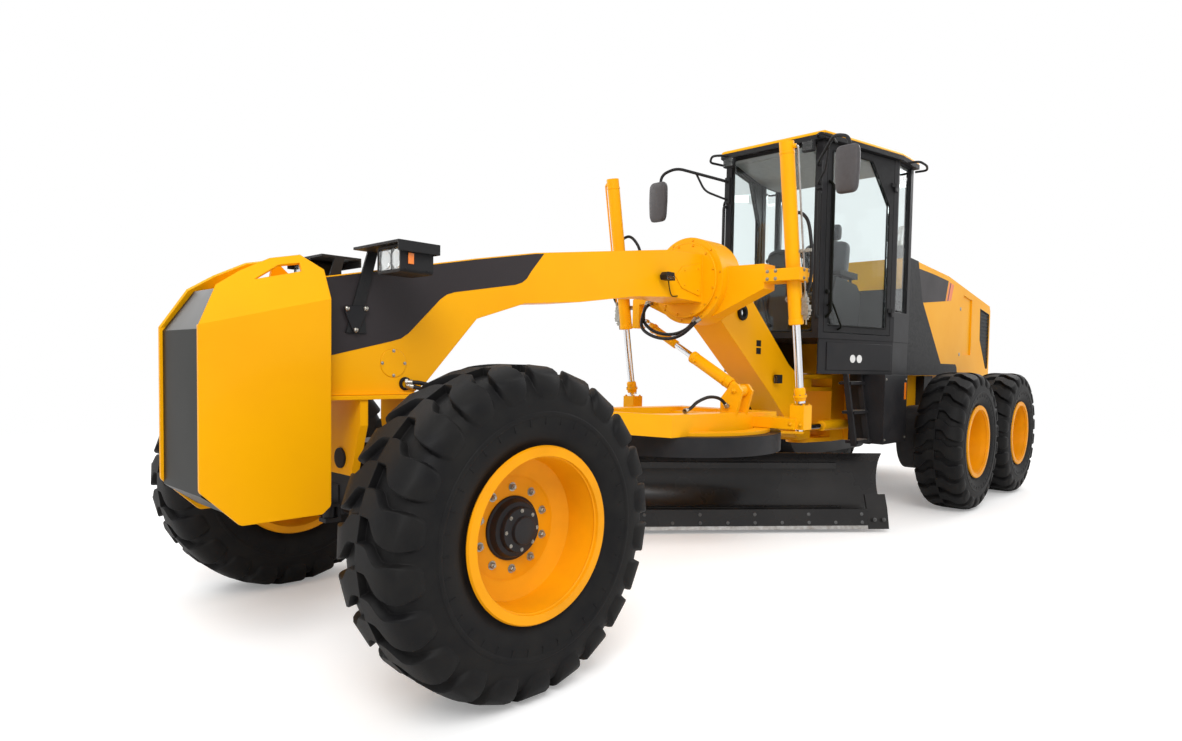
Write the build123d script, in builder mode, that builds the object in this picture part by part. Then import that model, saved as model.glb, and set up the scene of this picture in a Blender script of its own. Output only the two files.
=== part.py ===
from build123d import *
from math import cos, pi, radians, sin
import os

# Motor grader, millimetres.  +X is the driving direction, +Y the machine's left side, +Z up.
# The origin is on the ground below the middle of the machine.

os.makedirs("parts", exist_ok=True)

# ---------------------------------------------------------------- driving sizes
SEAT_GAP = 0.3                # air left between two pieces that bear on each other
PIN_GAP = 0.3                 # radial air round a hinge pin

TYRE_R = 674                  # out to the lugs' faces
TYRE_WIDTH = 445
LUG_DEPTH = 32
LUG_COUNT = 22
RIM_SEAT_R = 317.5
RIM_FLANGE_R = 356
RIM_HALF = 205
TRACK = 2180
WHEEL_Y = TRACK / 2

FRONT_AXLE_X = 3750
TANDEM_X = -2650
TANDEM_SPACING = 1520
FIRST_AXLE_X = TANDEM_X + TANDEM_SPACING / 2
LAST_AXLE_X = TANDEM_X - TANDEM_SPACING / 2

HINGE_X = -650                # articulation hinge
HINGE_PIN_R = 45
LUG_R = 120
LUG_THICK = 80
LUG_LOW_Z = 690
LUG_HIGH_Z = 1180
FORK_THICK = 40
FORK_GAP = 0.3

BEAM_WIDTH = 320
LEG_WIDTH = 300

KINGPIN_Y = 750
KINGPIN_R = 32
AXLE_DEPTH = 220

SADDLE_X = 1025
SADDLE_Z = 2015
SADDLE_R = 330
SADDLE_BORE_R = 245
SADDLE_LENGTH = 250

TRUNNION = (985, 825, 2017)   # lift cylinder's pivot in the saddle's arm, left side
LIFT_BALL = (825, 825, 1054)  # rod's ball on the drawbar, left side
LIFT_BARREL_R = 52
LIFT_ROD_R = 29
LIFT_BALL_R = 36
LIFT_CUP_R = 44               # room for the ball to drift between its cheeks

SHIFT_BALL = (1050, -490, 1705)
SHIFT_PIN = (1065, 450, 1180)
SHIFT_BARREL_R = 46
SHIFT_ROD_R = 25
SHIFT_EYE_HALF = 40
SHIFT_BALL_R = 36
SHIFT_DRIFT = 14              # room for the ball to drift outward from its hook

DRAWBAR_BALL = (3480, 0, 1080)
CIRCLE_X = 1210
CIRCLE_R = 770
CIRCLE_BORE_R = 660
CIRCLE_LOW_Z = 742
CIRCLE_TOP_Z = 878
DRAWBAR_PLATE_Z = CIRCLE_TOP_Z + SEAT_GAP

TOOTH_COUNT = 64              # ring gear round the circle's bore
TOOTH_DEPTH = 26

BLADE_ANGLE = 48              # circle's turn at rest
BLADE_LENGTH = 3660
BLADE_LOW_Z = 30
BLADE_BACK = 207              # cutting edge behind the circle's centre
BLADE_PLATE = 22
END_BIT_WIDTH = 180

CAB_FLOOR_Z = 1620
CAB_FLOOR = 50
LOCKER_LOW_Z = 1312
CAB_TOP_Z = 3290              # underside of the roof
ROOF_THICK = 85
ROOF_CHAMFER = 28
PILLAR = 60
GLASS = 8
DOOR_THICK = 40


# ---------------------------------------------------------------- helpers
def left_right(point, side):
    """The same place on the left (+1) or right (-1) side."""
    return Vector(point[0], point[1] * side, point[2])


def along(start, end):
    """A plane at start whose normal points to end."""
    return Plane(origin=start, z_dir=Vector(*end) - Vector(*start))


def distance(start, end):
    return (Vector(*end) - Vector(*start)).length


def between(start, end, share):
    """The point at a share of the way from start to end."""
    return Vector(*start) + (Vector(*end) - Vector(*start)) * share


def round_bar(start, end, radius, bore=0, mode=Mode.ADD):
    """A round bar or tube from start to end, in the part being built."""
    with BuildSketch(along(start, end)) as ring:
        Circle(radius)
        if bore:
            Circle(bore, mode=Mode.SUBTRACT)
    extrude(ring.sketch, amount=distance(start, end), mode=mode)


def slab(points, plane, amount, both=False, mode=Mode.ADD):
    """A straight-sided plate from a closed outline on a plane."""
    with BuildSketch(plane) as outline:
        with BuildLine():
            Polyline(*points, close=True)
        make_face()
    extrude(outline.sketch, amount=amount, both=both, mode=mode)


def block(low, high, mode=Mode.ADD):
    """A box between two corners."""
    centre = (Vector(*low) + Vector(*high)) * 0.5
    size = Vector(*high) - Vector(*low)
    with BuildSketch(Plane.XY.offset(low[2])) as base:
        with Locations((centre.X, centre.Y)):
            Rectangle(size.X, size.Y)
    extrude(base.sketch, amount=size.Z, mode=mode)


def save(builder, name):
    builder.part.label = name
    export_step(builder.part, f"parts/{name}.step")


# ---------------------------------------------------------------- wheels
# name, axle's x, side, depth of the wheel disc behind the rim's outer face
WHEELS = [
    ("front_left", FRONT_AXLE_X, 1, 210),
    ("front_right", FRONT_AXLE_X, -1, 210),
    ("middle_left", FIRST_AXLE_X, 1, 290),
    ("middle_right", FIRST_AXLE_X, -1, 290),
    ("rear_left", LAST_AXLE_X, 1, 290),
    ("rear_right", LAST_AXLE_X, -1, 290),
]
LUG_FACE_R = TYRE_R
TREAD_R = LUG_FACE_R - LUG_DEPTH
TREAD_HALF = 195
BEAD_HALF = 176
HUB_R = 150
HUB_CAP_R = 92
SPINDLE_R = 60
DISC_THICK = 18
# the carcass across the tyre, from its middle plane out: distance, radius of the flats
CARCASS = [(TREAD_HALF, TREAD_R), (TYRE_WIDTH / 2, 500), (BEAD_HALF + 2 - SEAT_GAP, RIM_FLANGE_R + 4)]


def tyre(name, x, side):
    """A tyre of flat facets, one to a lug, with V-shaped lugs fused to them."""
    centre = Vector(x, side * WHEEL_Y, TYRE_R)
    stations = [(-y, r) for y, r in reversed(CARCASS)] + CARCASS
    with BuildPart() as made:
        for y, radius in stations:
            ring = Plane(origin=centre + Vector(0, y, 0), x_dir=(0, 0, -1), z_dir=(0, 1, 0))
            with BuildSketch(ring):
                RegularPolygon(radius, LUG_COUNT, major_radius=False, rotation=180 / LUG_COUNT)
        loft(ruled=True)
        bead = Plane(origin=centre, x_dir=(0, 0, -1), z_dir=(0, 1, 0))
        with BuildSketch(bead) as seat:
            RegularPolygon(RIM_SEAT_R + SEAT_GAP, LUG_COUNT, major_radius=False, rotation=180 / LUG_COUNT)
        extrude(seat.sketch, amount=TYRE_WIDTH, both=True, mode=Mode.SUBTRACT)
        # V-shaped lugs: across the tyre, along the tread
        half = TREAD_HALF + 12
        lug = [(-half, -83), (0, 13), (half, -83), (half, -13), (0, 83), (-half, -13)]
        for number in range(LUG_COUNT):
            turn = radians(-90 + 360 / LUG_COUNT * number)
            outward = Vector(cos(turn), 0, sin(turn))
            face = Plane(origin=centre + outward * LUG_FACE_R, x_dir=(0, 1, 0), z_dir=outward)
            slab(lug, face, -LUG_DEPTH - 50)
    save(made, f"tyre_{name}")


def rim(name, x, side, dish):
    centre = Vector(x, side * WHEEL_Y, TYRE_R)
    section = Plane(origin=centre, x_dir=(0, side, 0), z_dir=(side, 0, 0))
    disc = RIM_HALF - dish
    wall = 14
    with BuildPart() as made:
        with BuildSketch(section):
            with BuildLine():
                Polyline(
                    (-RIM_HALF, RIM_FLANGE_R - 6),
                    (-RIM_HALF + 10, RIM_FLANGE_R),
                    (-BEAD_HALF - 2, RIM_FLANGE_R - 10),
                    (-BEAD_HALF - 2, RIM_SEAT_R),
                    (BEAD_HALF + 2, RIM_SEAT_R),
                    (BEAD_HALF + 2, RIM_FLANGE_R - 10),
                    (RIM_HALF - 10, RIM_FLANGE_R),
                    (RIM_HALF, RIM_FLANGE_R - 6),
                    (RIM_HALF, RIM_SEAT_R - 4),
                    (BEAD_HALF - 40, RIM_SEAT_R - wall),
                    (disc + DISC_THICK + 30, RIM_SEAT_R - wall - 10),
                    (disc + DISC_THICK, HUB_R + 70),
                    (disc + DISC_THICK, HUB_R - 30),
                    (disc + DISC_THICK + 36, HUB_R - 40),
                    (disc + DISC_THICK + 40, HUB_CAP_R),
                    (disc + DISC_THICK + 62, HUB_CAP_R - 4),
                    (disc + DISC_THICK + 66, HUB_CAP_R - 30),
                    (disc + DISC_THICK + 66, 0),
                    (disc - 30, 0),
                    (disc - 30, HUB_R - 20),
                    (disc, HUB_R - 20),
                    (disc, HUB_R + 60),
                    (disc + 16, RIM_SEAT_R - wall),
                    (-BEAD_HALF + 30, RIM_SEAT_R - wall),
                    (-RIM_HALF, RIM_SEAT_R - 4),
                    close=True,
                )
            make_face()
        revolve(axis=Axis(centre, (0, 1, 0)))
    save(made, f"rim_{name}")


for name, x, side, dish in WHEELS:
    tyre(name, x, side)
    rim(name, x, side, dish)

# ---------------------------------------------------------------- front axle, knuckles, steering
AXLE_PIVOT_Z = 870
AXLE_PIVOT_R = 50
AXLE_END_LOW_Z = 545
AXLE_END_TOP_Z = 825
EAR_THICK = 48
KNUCKLE_GAP = 0.3
ARM_REACH = 200               # steering arm behind the kingpin
ARM_INSET = 30
TIE_ROD_R = 22
STEER_REACH = 150             # cylinder's arm ahead of the kingpin
STEER_ANCHOR_Y = 190
STEER_EYE_Y = 720
STEER_EYE_THICK = 48
STEER_Z = AXLE_END_LOW_Z - KNUCKLE_GAP + SEAT_GAP + STEER_EYE_THICK / 2
STEER_BARREL_R = 34
STEER_ROD_R = 18
STEER_EYE_R = 34

with BuildPart() as front_axle:
    half_axle = [
        (0, 950), (110, 950), (190, 860), (KINGPIN_Y - 60, 800),
        (KINGPIN_Y - 60, 600), (400, 606), (0, 610),
    ]
    front_plane = Plane.YZ.offset(FRONT_AXLE_X)
    slab(half_axle, front_plane, AXLE_DEPTH / 2, both=True)
    mirror(about=Plane.XZ)
    for side in (1, -1):
        pin = Vector(FRONT_AXLE_X, side * KINGPIN_Y, 0)
        round_bar(pin + Vector(0, 0, AXLE_END_LOW_Z), pin + Vector(0, 0, AXLE_END_TOP_Z), 68)
        # clevis of the steering cylinder, on the axle's front face
        axle_face = FRONT_AXLE_X + AXLE_DEPTH / 2
        block(
            (axle_face - 10, side * STEER_ANCHOR_Y - 36, STEER_Z - 50),
            (axle_face + 8, side * STEER_ANCHOR_Y + 36, STEER_Z + 140),
        )
        for low in (STEER_Z - 50, STEER_Z + 28):
            block(
                (axle_face, side * STEER_ANCHOR_Y - 36, low),
                (FRONT_AXLE_X + STEER_REACH + 34, side * STEER_ANCHOR_Y + 36, low + 22),
            )
    # oscillation pin through the bolster
    round_bar(
        (FRONT_AXLE_X - 190, 0, AXLE_PIVOT_Z), (FRONT_AXLE_X + 190, 0, AXLE_PIVOT_Z), AXLE_PIVOT_R
    )
save(front_axle, "front_axle")


def knuckle(name, side):
    pin = Vector(FRONT_AXLE_X, side * KINGPIN_Y, 0)
    low_ear = AXLE_END_LOW_Z - KNUCKLE_GAP - EAR_THICK
    top_ear = AXLE_END_TOP_Z + KNUCKLE_GAP
    with BuildPart() as made:
        for low in (low_ear, top_ear):
            round_bar(pin + Vector(0, 0, low), pin + Vector(0, 0, low + EAR_THICK), 70)
            block(
                (pin.X - 70, min(pin.Y, pin.Y + side * 118), low),
                (pin.X + 70, max(pin.Y, pin.Y + side * 118), low + EAR_THICK),
            )
        block(
            (pin.X - 70, min(pin.Y + side * 84, pin.Y + side * 118), low_ear),
            (pin.X + 70, max(pin.Y + side * 84, pin.Y + side * 118), top_ear + EAR_THICK),
        )
        disc_y = side * (WHEEL_Y + RIM_HALF - 210)
        round_bar(
            (pin.X, pin.Y + side * 110, TYRE_R), (pin.X, disc_y - side * (30 + SEAT_GAP), TYRE_R), 92
        )
        # arm to the tie rod, behind and below
        slab(
            [
                (pin.X + 20, pin.Y - 55), (pin.X + 20, pin.Y + 55),
                (pin.X - ARM_REACH, pin.Y - side * ARM_INSET + 36),
                (pin.X - ARM_REACH - 36, pin.Y - side * ARM_INSET),
                (pin.X - ARM_REACH, pin.Y - side * ARM_INSET - 36),
            ],
            Plane.XY.offset(low_ear), EAR_THICK,
        )
        # arm for the steering cylinder, ahead, under the rod's eye
        slab(
            [
                (pin.X + 20, pin.Y - 55), (pin.X + 20, pin.Y + 55),
                (pin.X + STEER_REACH, side * STEER_EYE_Y + STEER_EYE_R),
                (pin.X + STEER_REACH + STEER_EYE_R, side * STEER_EYE_Y),
                (pin.X + STEER_REACH, side * STEER_EYE_Y - STEER_EYE_R),
            ],
            Plane.XY.offset(low_ear), EAR_THICK,
        )
    save(made, f"knuckle_{name}")


for name, side in (("left", 1), ("right", -1)):
    knuckle(name, side)

TIE_ROD_Z = AXLE_END_LOW_Z - KNUCKLE_GAP - EAR_THICK - 34
with BuildPart() as tie_rod:
    tie_x = FRONT_AXLE_X - ARM_REACH
    tie_y = KINGPIN_Y - ARM_INSET
    round_bar((tie_x, -tie_y, TIE_ROD_Z), (tie_x, tie_y, TIE_ROD_Z), TIE_ROD_R)
    for side in (1, -1):
        round_bar((tie_x, side * tie_y, TIE_ROD_Z - 30), (tie_x, side * tie_y, TIE_ROD_Z + 34 - SEAT_GAP), 32)
save(tie_rod, "tie_rod")

STEER_X = FRONT_AXLE_X + STEER_REACH
for name, side in (("left", 1), ("right", -1)):
    anchor = (STEER_X, side * STEER_ANCHOR_Y, STEER_Z)
    eye = (STEER_X, side * STEER_EYE_Y, STEER_Z)
    with BuildPart() as steer_barrel:
        round_bar((anchor[0], anchor[1], STEER_Z - 27.7), (anchor[0], anchor[1], STEER_Z + 27.7), 30)
        round_bar(anchor, (STEER_X, side * (STEER_ANCHOR_Y + 70), STEER_Z), 22)
        round_bar(
            (STEER_X, side * (STEER_ANCHOR_Y + 60), STEER_Z),
            (STEER_X, side * (STEER_ANCHOR_Y + 330), STEER_Z),
            STEER_BARREL_R, bore=STEER_ROD_R + SEAT_GAP,
        )
    save(steer_barrel, f"steering_barrel_{name}")
    with BuildPart() as steer_rod:
        round_bar((STEER_X, side * (STEER_ANCHOR_Y + 205), STEER_Z), eye, STEER_ROD_R)
        round_bar(
            (eye[0], eye[1], STEER_Z - STEER_EYE_THICK / 2), (eye[0], eye[1], STEER_Z + STEER_EYE_THICK / 2),
            STEER_EYE_R,
        )
    save(steer_rod, f"steering_rod_{name}")

# ---------------------------------------------------------------- front frame
ARTIC_EYE = (-150, 290, 830)
ARTIC_PIN = (-1150, 330, 830)
ARTIC_EYE_HALF = 30
BEAM_TOP = [(4450, 1620), (4080, 1735), (3250, 1916), (2830, 2000), (1600, 2180), (1160, 2200)]
BEAM_BOTTOM = [
    (1160, 1838), (1540, 1850), (1930, 1822), (2450, 1743), (2900, 1700),
    (3240, 1590), (3550, 1250), (3640, 1185), (4450, 1185),
]
LEG = [
    (895, 2190), (860, 2205), (450, 1910), (-185, 1385), (-400, 1275),
    (-400, LUG_LOW_Z), (90, 1102), (895, 1713),
]

with BuildPart() as front_frame:
    slab(BEAM_TOP + BEAM_BOTTOM, Plane.XZ, BEAM_WIDTH / 2, both=True)
    slab(LEG, Plane.XZ, LEG_WIDTH / 2, both=True)
    # round neck that the saddle turns on
    round_bar((850, 0, SADDLE_Z), (1170, 0, SADDLE_Z), SADDLE_BORE_R - SEAT_GAP)
    # cover ring that keeps the saddle on its neck
    saddle_face = SADDLE_X + SADDLE_LENGTH / 2
    round_bar((saddle_face + SEAT_GAP, 0, SADDLE_Z), (saddle_face + 26, 0, SADDLE_Z), 285)
    # lower flange of the front box
    block((3550, -200, 1165), (4380, 200, 1185))
    # bolster plates down to the axle's oscillation pin
    for x in (FRONT_AXLE_X - 180, FRONT_AXLE_X + 140):
        slab(
            [(-190, 1166), (190, 1166), (190, 1040), (100, 790), (-100, 790), (-190, 1040)],
            Plane.YZ.offset(x), 40,
        )
        round_bar((x - 1, 0, AXLE_PIVOT_Z), (x + 41, 0, AXLE_PIVOT_Z), AXLE_PIVOT_R + SEAT_GAP,
                  mode=Mode.SUBTRACT)
    # bracket with the drawbar's ball socket
    ball_x, ball_y, ball_z = DRAWBAR_BALL
    block((ball_x + 66, -110, 960), (FRONT_AXLE_X - 170, 110, 1170))
    # ears for the articulation cylinders' rods
    eye_x, eye_y, eye_z = ARTIC_EYE
    for side in (1, -1):
        for low in (eye_z - ARTIC_EYE_HALF - SEAT_GAP - 22, eye_z + ARTIC_EYE_HALF + SEAT_GAP):
            slab(
                [(-400, side * 140), (20, side * 140), (eye_x + 46, side * (eye_y + 20)), (eye_x, side * (eye_y + 46)),
                 (eye_x - 46, side * (eye_y + 20))],
                Plane.XY.offset(low), 22,
            )
    # hinge lugs at the leg's foot
    for low in (LUG_LOW_Z, LUG_HIGH_Z):
        with BuildSketch(Plane.XY.offset(low)):
            with BuildLine():
                Polyline((-380, -LEG_WIDTH / 2), (-380, LEG_WIDTH / 2), (HINGE_X, LUG_R), (HINGE_X, -LUG_R), close=True)
            make_face()
            with Locations((HINGE_X, 0)):
                Circle(LUG_R)
                Circle(HINGE_PIN_R + PIN_GAP, mode=Mode.SUBTRACT)
        extrude(amount=LUG_THICK)
save(front_frame, "front_frame")

# ---------------------------------------------------------------- nose
NOSE_HALF = 250
NOSE_PLATE = 16
NOSE_LEAN = 28                # degrees that the flaps lean inward above the fold
FOLD = [(4640, 1480), (4100, 1625)]   # x, z of the fold's front and rear ends
# side plate below the fold, x and z from the fold's front end round the foot
NOSE_SIDE = [FOLD[0], (4640, 812), (4485, 655), (4140, 655), (4100, 690), FOLD[1]]
# flap above the fold: distance along the fold from its front end, height over it
NOSE_FLAP = [(0, 0), (131, 160), (246, 207), (389, 245), (523, 240), (594, 148), (559, 0)]
FLAP_SLOT = [(285, 156), (494, 158), (503, 200), (410, 206)]
PANEL_FRONT_X = 4628
PANEL_BACK_X = 4451
PANEL_SPREAD = 95             # how much narrower each side of the panel's top is

with BuildPart() as nose_plates:
    fold_way = Vector(FOLD[1][0] - FOLD[0][0], 0, FOLD[1][1] - FOLD[0][1]).normalized()
    over_fold = Vector(fold_way.Z, 0, -fold_way.X)
    for side in (1, -1):
        # the lower plate, its foot's corners rounded
        with BuildSketch(Plane.XZ.offset(-side * NOSE_HALF)) as lower_plate:
            with BuildLine():
                Polyline(*NOSE_SIDE, close=True)
            make_face()
            foot = lower_plate.vertices().filter_by(lambda v: v.Y < 900)
            fillet(foot, 26)
        extrude(lower_plate.sketch, amount=side * NOSE_PLATE)
        # the flap leans inward from the fold and is cut through by a slot
        uphill = over_fold * cos(radians(NOSE_LEAN)) + Vector(0, -side, 0) * sin(radians(NOSE_LEAN))
        flap = Plane(
            origin=(FOLD[0][0], side * NOSE_HALF, FOLD[0][1]), x_dir=fold_way,
            z_dir=fold_way.cross(uphill),
        )
        inside = -NOSE_PLATE if flap.z_dir.Y * side > 0 else NOSE_PLATE
        slab(NOSE_FLAP, flap, inside)
        slab(FLAP_SLOT, flap, 2 * inside, mode=Mode.SUBTRACT)
    # spacer pads between the plates and the beam's sides
    for side in (1, -1):
        low_y, high_y = sorted((side * BEAM_WIDTH / 2, side * (NOSE_HALF - NOSE_PLATE / 2)))
        for x, z in ((4180, 1260), (4180, 1480), (4360, 1260), (4360, 1440)):
            block((x, low_y, z), (x + 70, high_y, z + 90))
save(nose_plates, "nose_plates")

with BuildPart() as nose_panel:
    half = NOSE_HALF - NOSE_PLATE - SEAT_GAP
    slab(
        [(PANEL_FRONT_X, 790), (PANEL_FRONT_X, 1465), (PANEL_BACK_X, 1465), (PANEL_BACK_X, 700), (4500, 690)],
        Plane.XZ, half, both=True,
    )
    # the top narrows between the leaning flaps and slopes back
    slab(
        [(-half, 1464), (half, 1464), (half - PANEL_SPREAD, 1640), (PANEL_SPREAD - half, 1640)],
        Plane.YZ.offset(PANEL_BACK_X), PANEL_FRONT_X - PANEL_BACK_X,
    )
    slab(
        [(PANEL_FRONT_X, 1465), (PANEL_FRONT_X + 40, 1465), (PANEL_FRONT_X + 40, 1700), (4500, 1700)],
        Plane.XZ, NOSE_HALF, both=True, mode=Mode.SUBTRACT,
    )
save(nose_panel, "nose_panel")

# ---------------------------------------------------------------- headlamps
LAMP_X = (3760, 3925)         # back and front of a lamp's body
LAMP_Y = (335, 535)
LAMP_Z = (1745, 1868)
with BuildPart() as headlamps:
    for side in (1, -1):
        beam_side = Plane.XZ.offset(-side * BEAM_WIDTH / 2)
        slab([(3990, 1480), (3890, 1480), (3900, 1600), (3830, 1876), (3880, 1876), (3960, 1600)],
             beam_side, -side * 12)
        # shield over the lamp, bent down at its rear and outer edges
        low_y, high_y = sorted((side * BEAM_WIDTH / 2, side * 560))
        block((3740, low_y, 1870), (3950, high_y, 1882))
        block((3740, low_y, 1835), (3748, high_y, 1882))
        low_y, high_y = sorted((side * 552, side * 560))
        block((3740, low_y, 1835), (3950, high_y, 1882))
        # lamp body with a hood round its recessed face
        with BuildSketch(Plane.YZ.offset(LAMP_X[0])) as body:
            with Locations((side * (LAMP_Y[0] + LAMP_Y[1]) / 2, (LAMP_Z[0] + LAMP_Z[1]) / 2)):
                RectangleRounded(LAMP_Y[1] - LAMP_Y[0], LAMP_Z[1] - LAMP_Z[0], 18)
        extrude(body.sketch, amount=LAMP_X[1] - LAMP_X[0])
        with BuildSketch(Plane.YZ.offset(LAMP_X[1])) as face:
            with Locations((side * (LAMP_Y[0] + LAMP_Y[1]) / 2, (LAMP_Z[0] + LAMP_Z[1]) / 2)):
                RectangleRounded(LAMP_Y[1] - LAMP_Y[0] - 24, LAMP_Z[1] - LAMP_Z[0] - 24, 10)
        extrude(face.sketch, amount=-14, mode=Mode.SUBTRACT)
        # post from the body up to the shield
        block((3820, side * 435 - 20, LAMP_Z[1] - 1), (3860, side * 435 + 20, 1871))
save(headlamps, "headlamps")

# ---------------------------------------------------------------- saddle
ARM_X = (930, 1080)
CLAMP_HALF = 72
TRUNNION_R = 28
TRUNNION_REACH = 98
with BuildPart() as saddle:
    round_bar(
        (SADDLE_X - SADDLE_LENGTH / 2, 0, SADDLE_Z), (SADDLE_X + SADDLE_LENGTH / 2, 0, SADDLE_Z),
        SADDLE_R, bore=SADDLE_BORE_R,
    )
    for side in (1, -1):
        slab(
            [
                (side * 300, 2110), (side * 640, 2105), (side * 640, 1925),
                (side * 190, 1735), (side * 250, 1990),
            ],
            Plane.YZ.offset(ARM_X[0]), ARM_X[1] - ARM_X[0],
        )
        # clamp head: a closed frame round the barrel, bored for its trunnions
        low_y, high_y = sorted((side * 630, side * (TRUNNION[1] + TRUNNION_REACH + 2)))
        block(
            (TRUNNION[0] - CLAMP_HALF - 26, low_y, TRUNNION[2] - 44),
            (TRUNNION[0] + CLAMP_HALF + 26, high_y, TRUNNION[2] + 44),
        )
        low_y, high_y = sorted((side * (TRUNNION[1] - CLAMP_HALF), side * (TRUNNION[1] + CLAMP_HALF)))
        block(
            (TRUNNION[0] - CLAMP_HALF, low_y, TRUNNION[2] - 60),
            (TRUNNION[0] + CLAMP_HALF, high_y, TRUNNION[2] + 60),
            mode=Mode.SUBTRACT,
        )
        round_bar(
            (TRUNNION[0], side * (TRUNNION[1] - TRUNNION_REACH), TRUNNION[2]),
            (TRUNNION[0], side * (TRUNNION[1] + TRUNNION_REACH + 10), TRUNNION[2]),
            TRUNNION_R + PIN_GAP, mode=Mode.SUBTRACT,
        )
    # hook that bears on the outer side of the centre-shift cylinder's ball
    shift_cheek = SHIFT_BALL[1] - SHIFT_BALL_R - SHIFT_DRIFT
    slab(
        [(-250, 1990), (-480, 1975), (-612, 1900), (-612, SHIFT_BALL[2] - 40),
         (shift_cheek, SHIFT_BALL[2] - 40), (shift_cheek, 1860), (-300, 1860), (-250, 1800)],
        Plane.YZ.offset(SHIFT_BALL[0] - 40), 80,
    )
save(saddle, "saddle")

# ---------------------------------------------------------------- lift cylinders
LIFT_TOP = 1.94               # barrel's top, as a share of ball to trunnion
for name, side in (("left", 1), ("right", -1)):
    pivot = left_right(TRUNNION, side)
    ball = left_right(LIFT_BALL, side)
    top = between(ball, pivot, LIFT_TOP)
    mouth = between(ball, pivot, 0.64)
    with BuildPart() as lift_barrel:
        round_bar(mouth, top, LIFT_BARREL_R)
        round_bar(mouth, between(ball, pivot, 1.85), LIFT_ROD_R + SEAT_GAP, mode=Mode.SUBTRACT)
        # trunnion pins, inboard and outboard
        for way in (1, -1):
            round_bar(
                (pivot.X, pivot.Y + way * (LIFT_BARREL_R - 12), pivot.Z),
                (pivot.X, pivot.Y + way * TRUNNION_REACH, pivot.Z), TRUNNION_R,
            )
    save(lift_barrel, f"lift_barrel_{name}")
    with BuildPart() as lift_rod:
        start = between(ball, pivot, 0.05)
        round_bar(start, between(ball, pivot, 1.30), LIFT_ROD_R)
        round_bar(start, between(ball, pivot, 0.14), 38)
        with Locations(ball):
            Sphere(LIFT_BALL_R)
    save(lift_rod, f"lift_rod_{name}")

# ---------------------------------------------------------------- centre-shift cylinder
with BuildPart() as shift_barrel:
    round_bar(between(SHIFT_PIN, SHIFT_BALL, 0.08), between(SHIFT_PIN, SHIFT_BALL, 0.48), SHIFT_BARREL_R)
    round_bar(SHIFT_PIN, between(SHIFT_PIN, SHIFT_BALL, 0.1), 34)
    round_bar(
        (SHIFT_PIN[0] - SHIFT_EYE_HALF, SHIFT_PIN[1], SHIFT_PIN[2]),
        (SHIFT_PIN[0] + SHIFT_EYE_HALF, SHIFT_PIN[1], SHIFT_PIN[2]), 44,
    )
    round_bar(
        between(SHIFT_PIN, SHIFT_BALL, 0.095), between(SHIFT_PIN, SHIFT_BALL, 0.49),
        SHIFT_ROD_R + SEAT_GAP, mode=Mode.SUBTRACT,
    )
save(shift_barrel, "shift_barrel")

with BuildPart() as shift_rod:
    round_bar(between(SHIFT_PIN, SHIFT_BALL, 0.237), between(SHIFT_PIN, SHIFT_BALL, 0.97), SHIFT_ROD_R)
    round_bar(between(SHIFT_PIN, SHIFT_BALL, 0.66), between(SHIFT_PIN, SHIFT_BALL, 0.96), 32)
    with Locations(SHIFT_BALL):
        Sphere(SHIFT_BALL_R)
save(shift_rod, "shift_rod")

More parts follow.
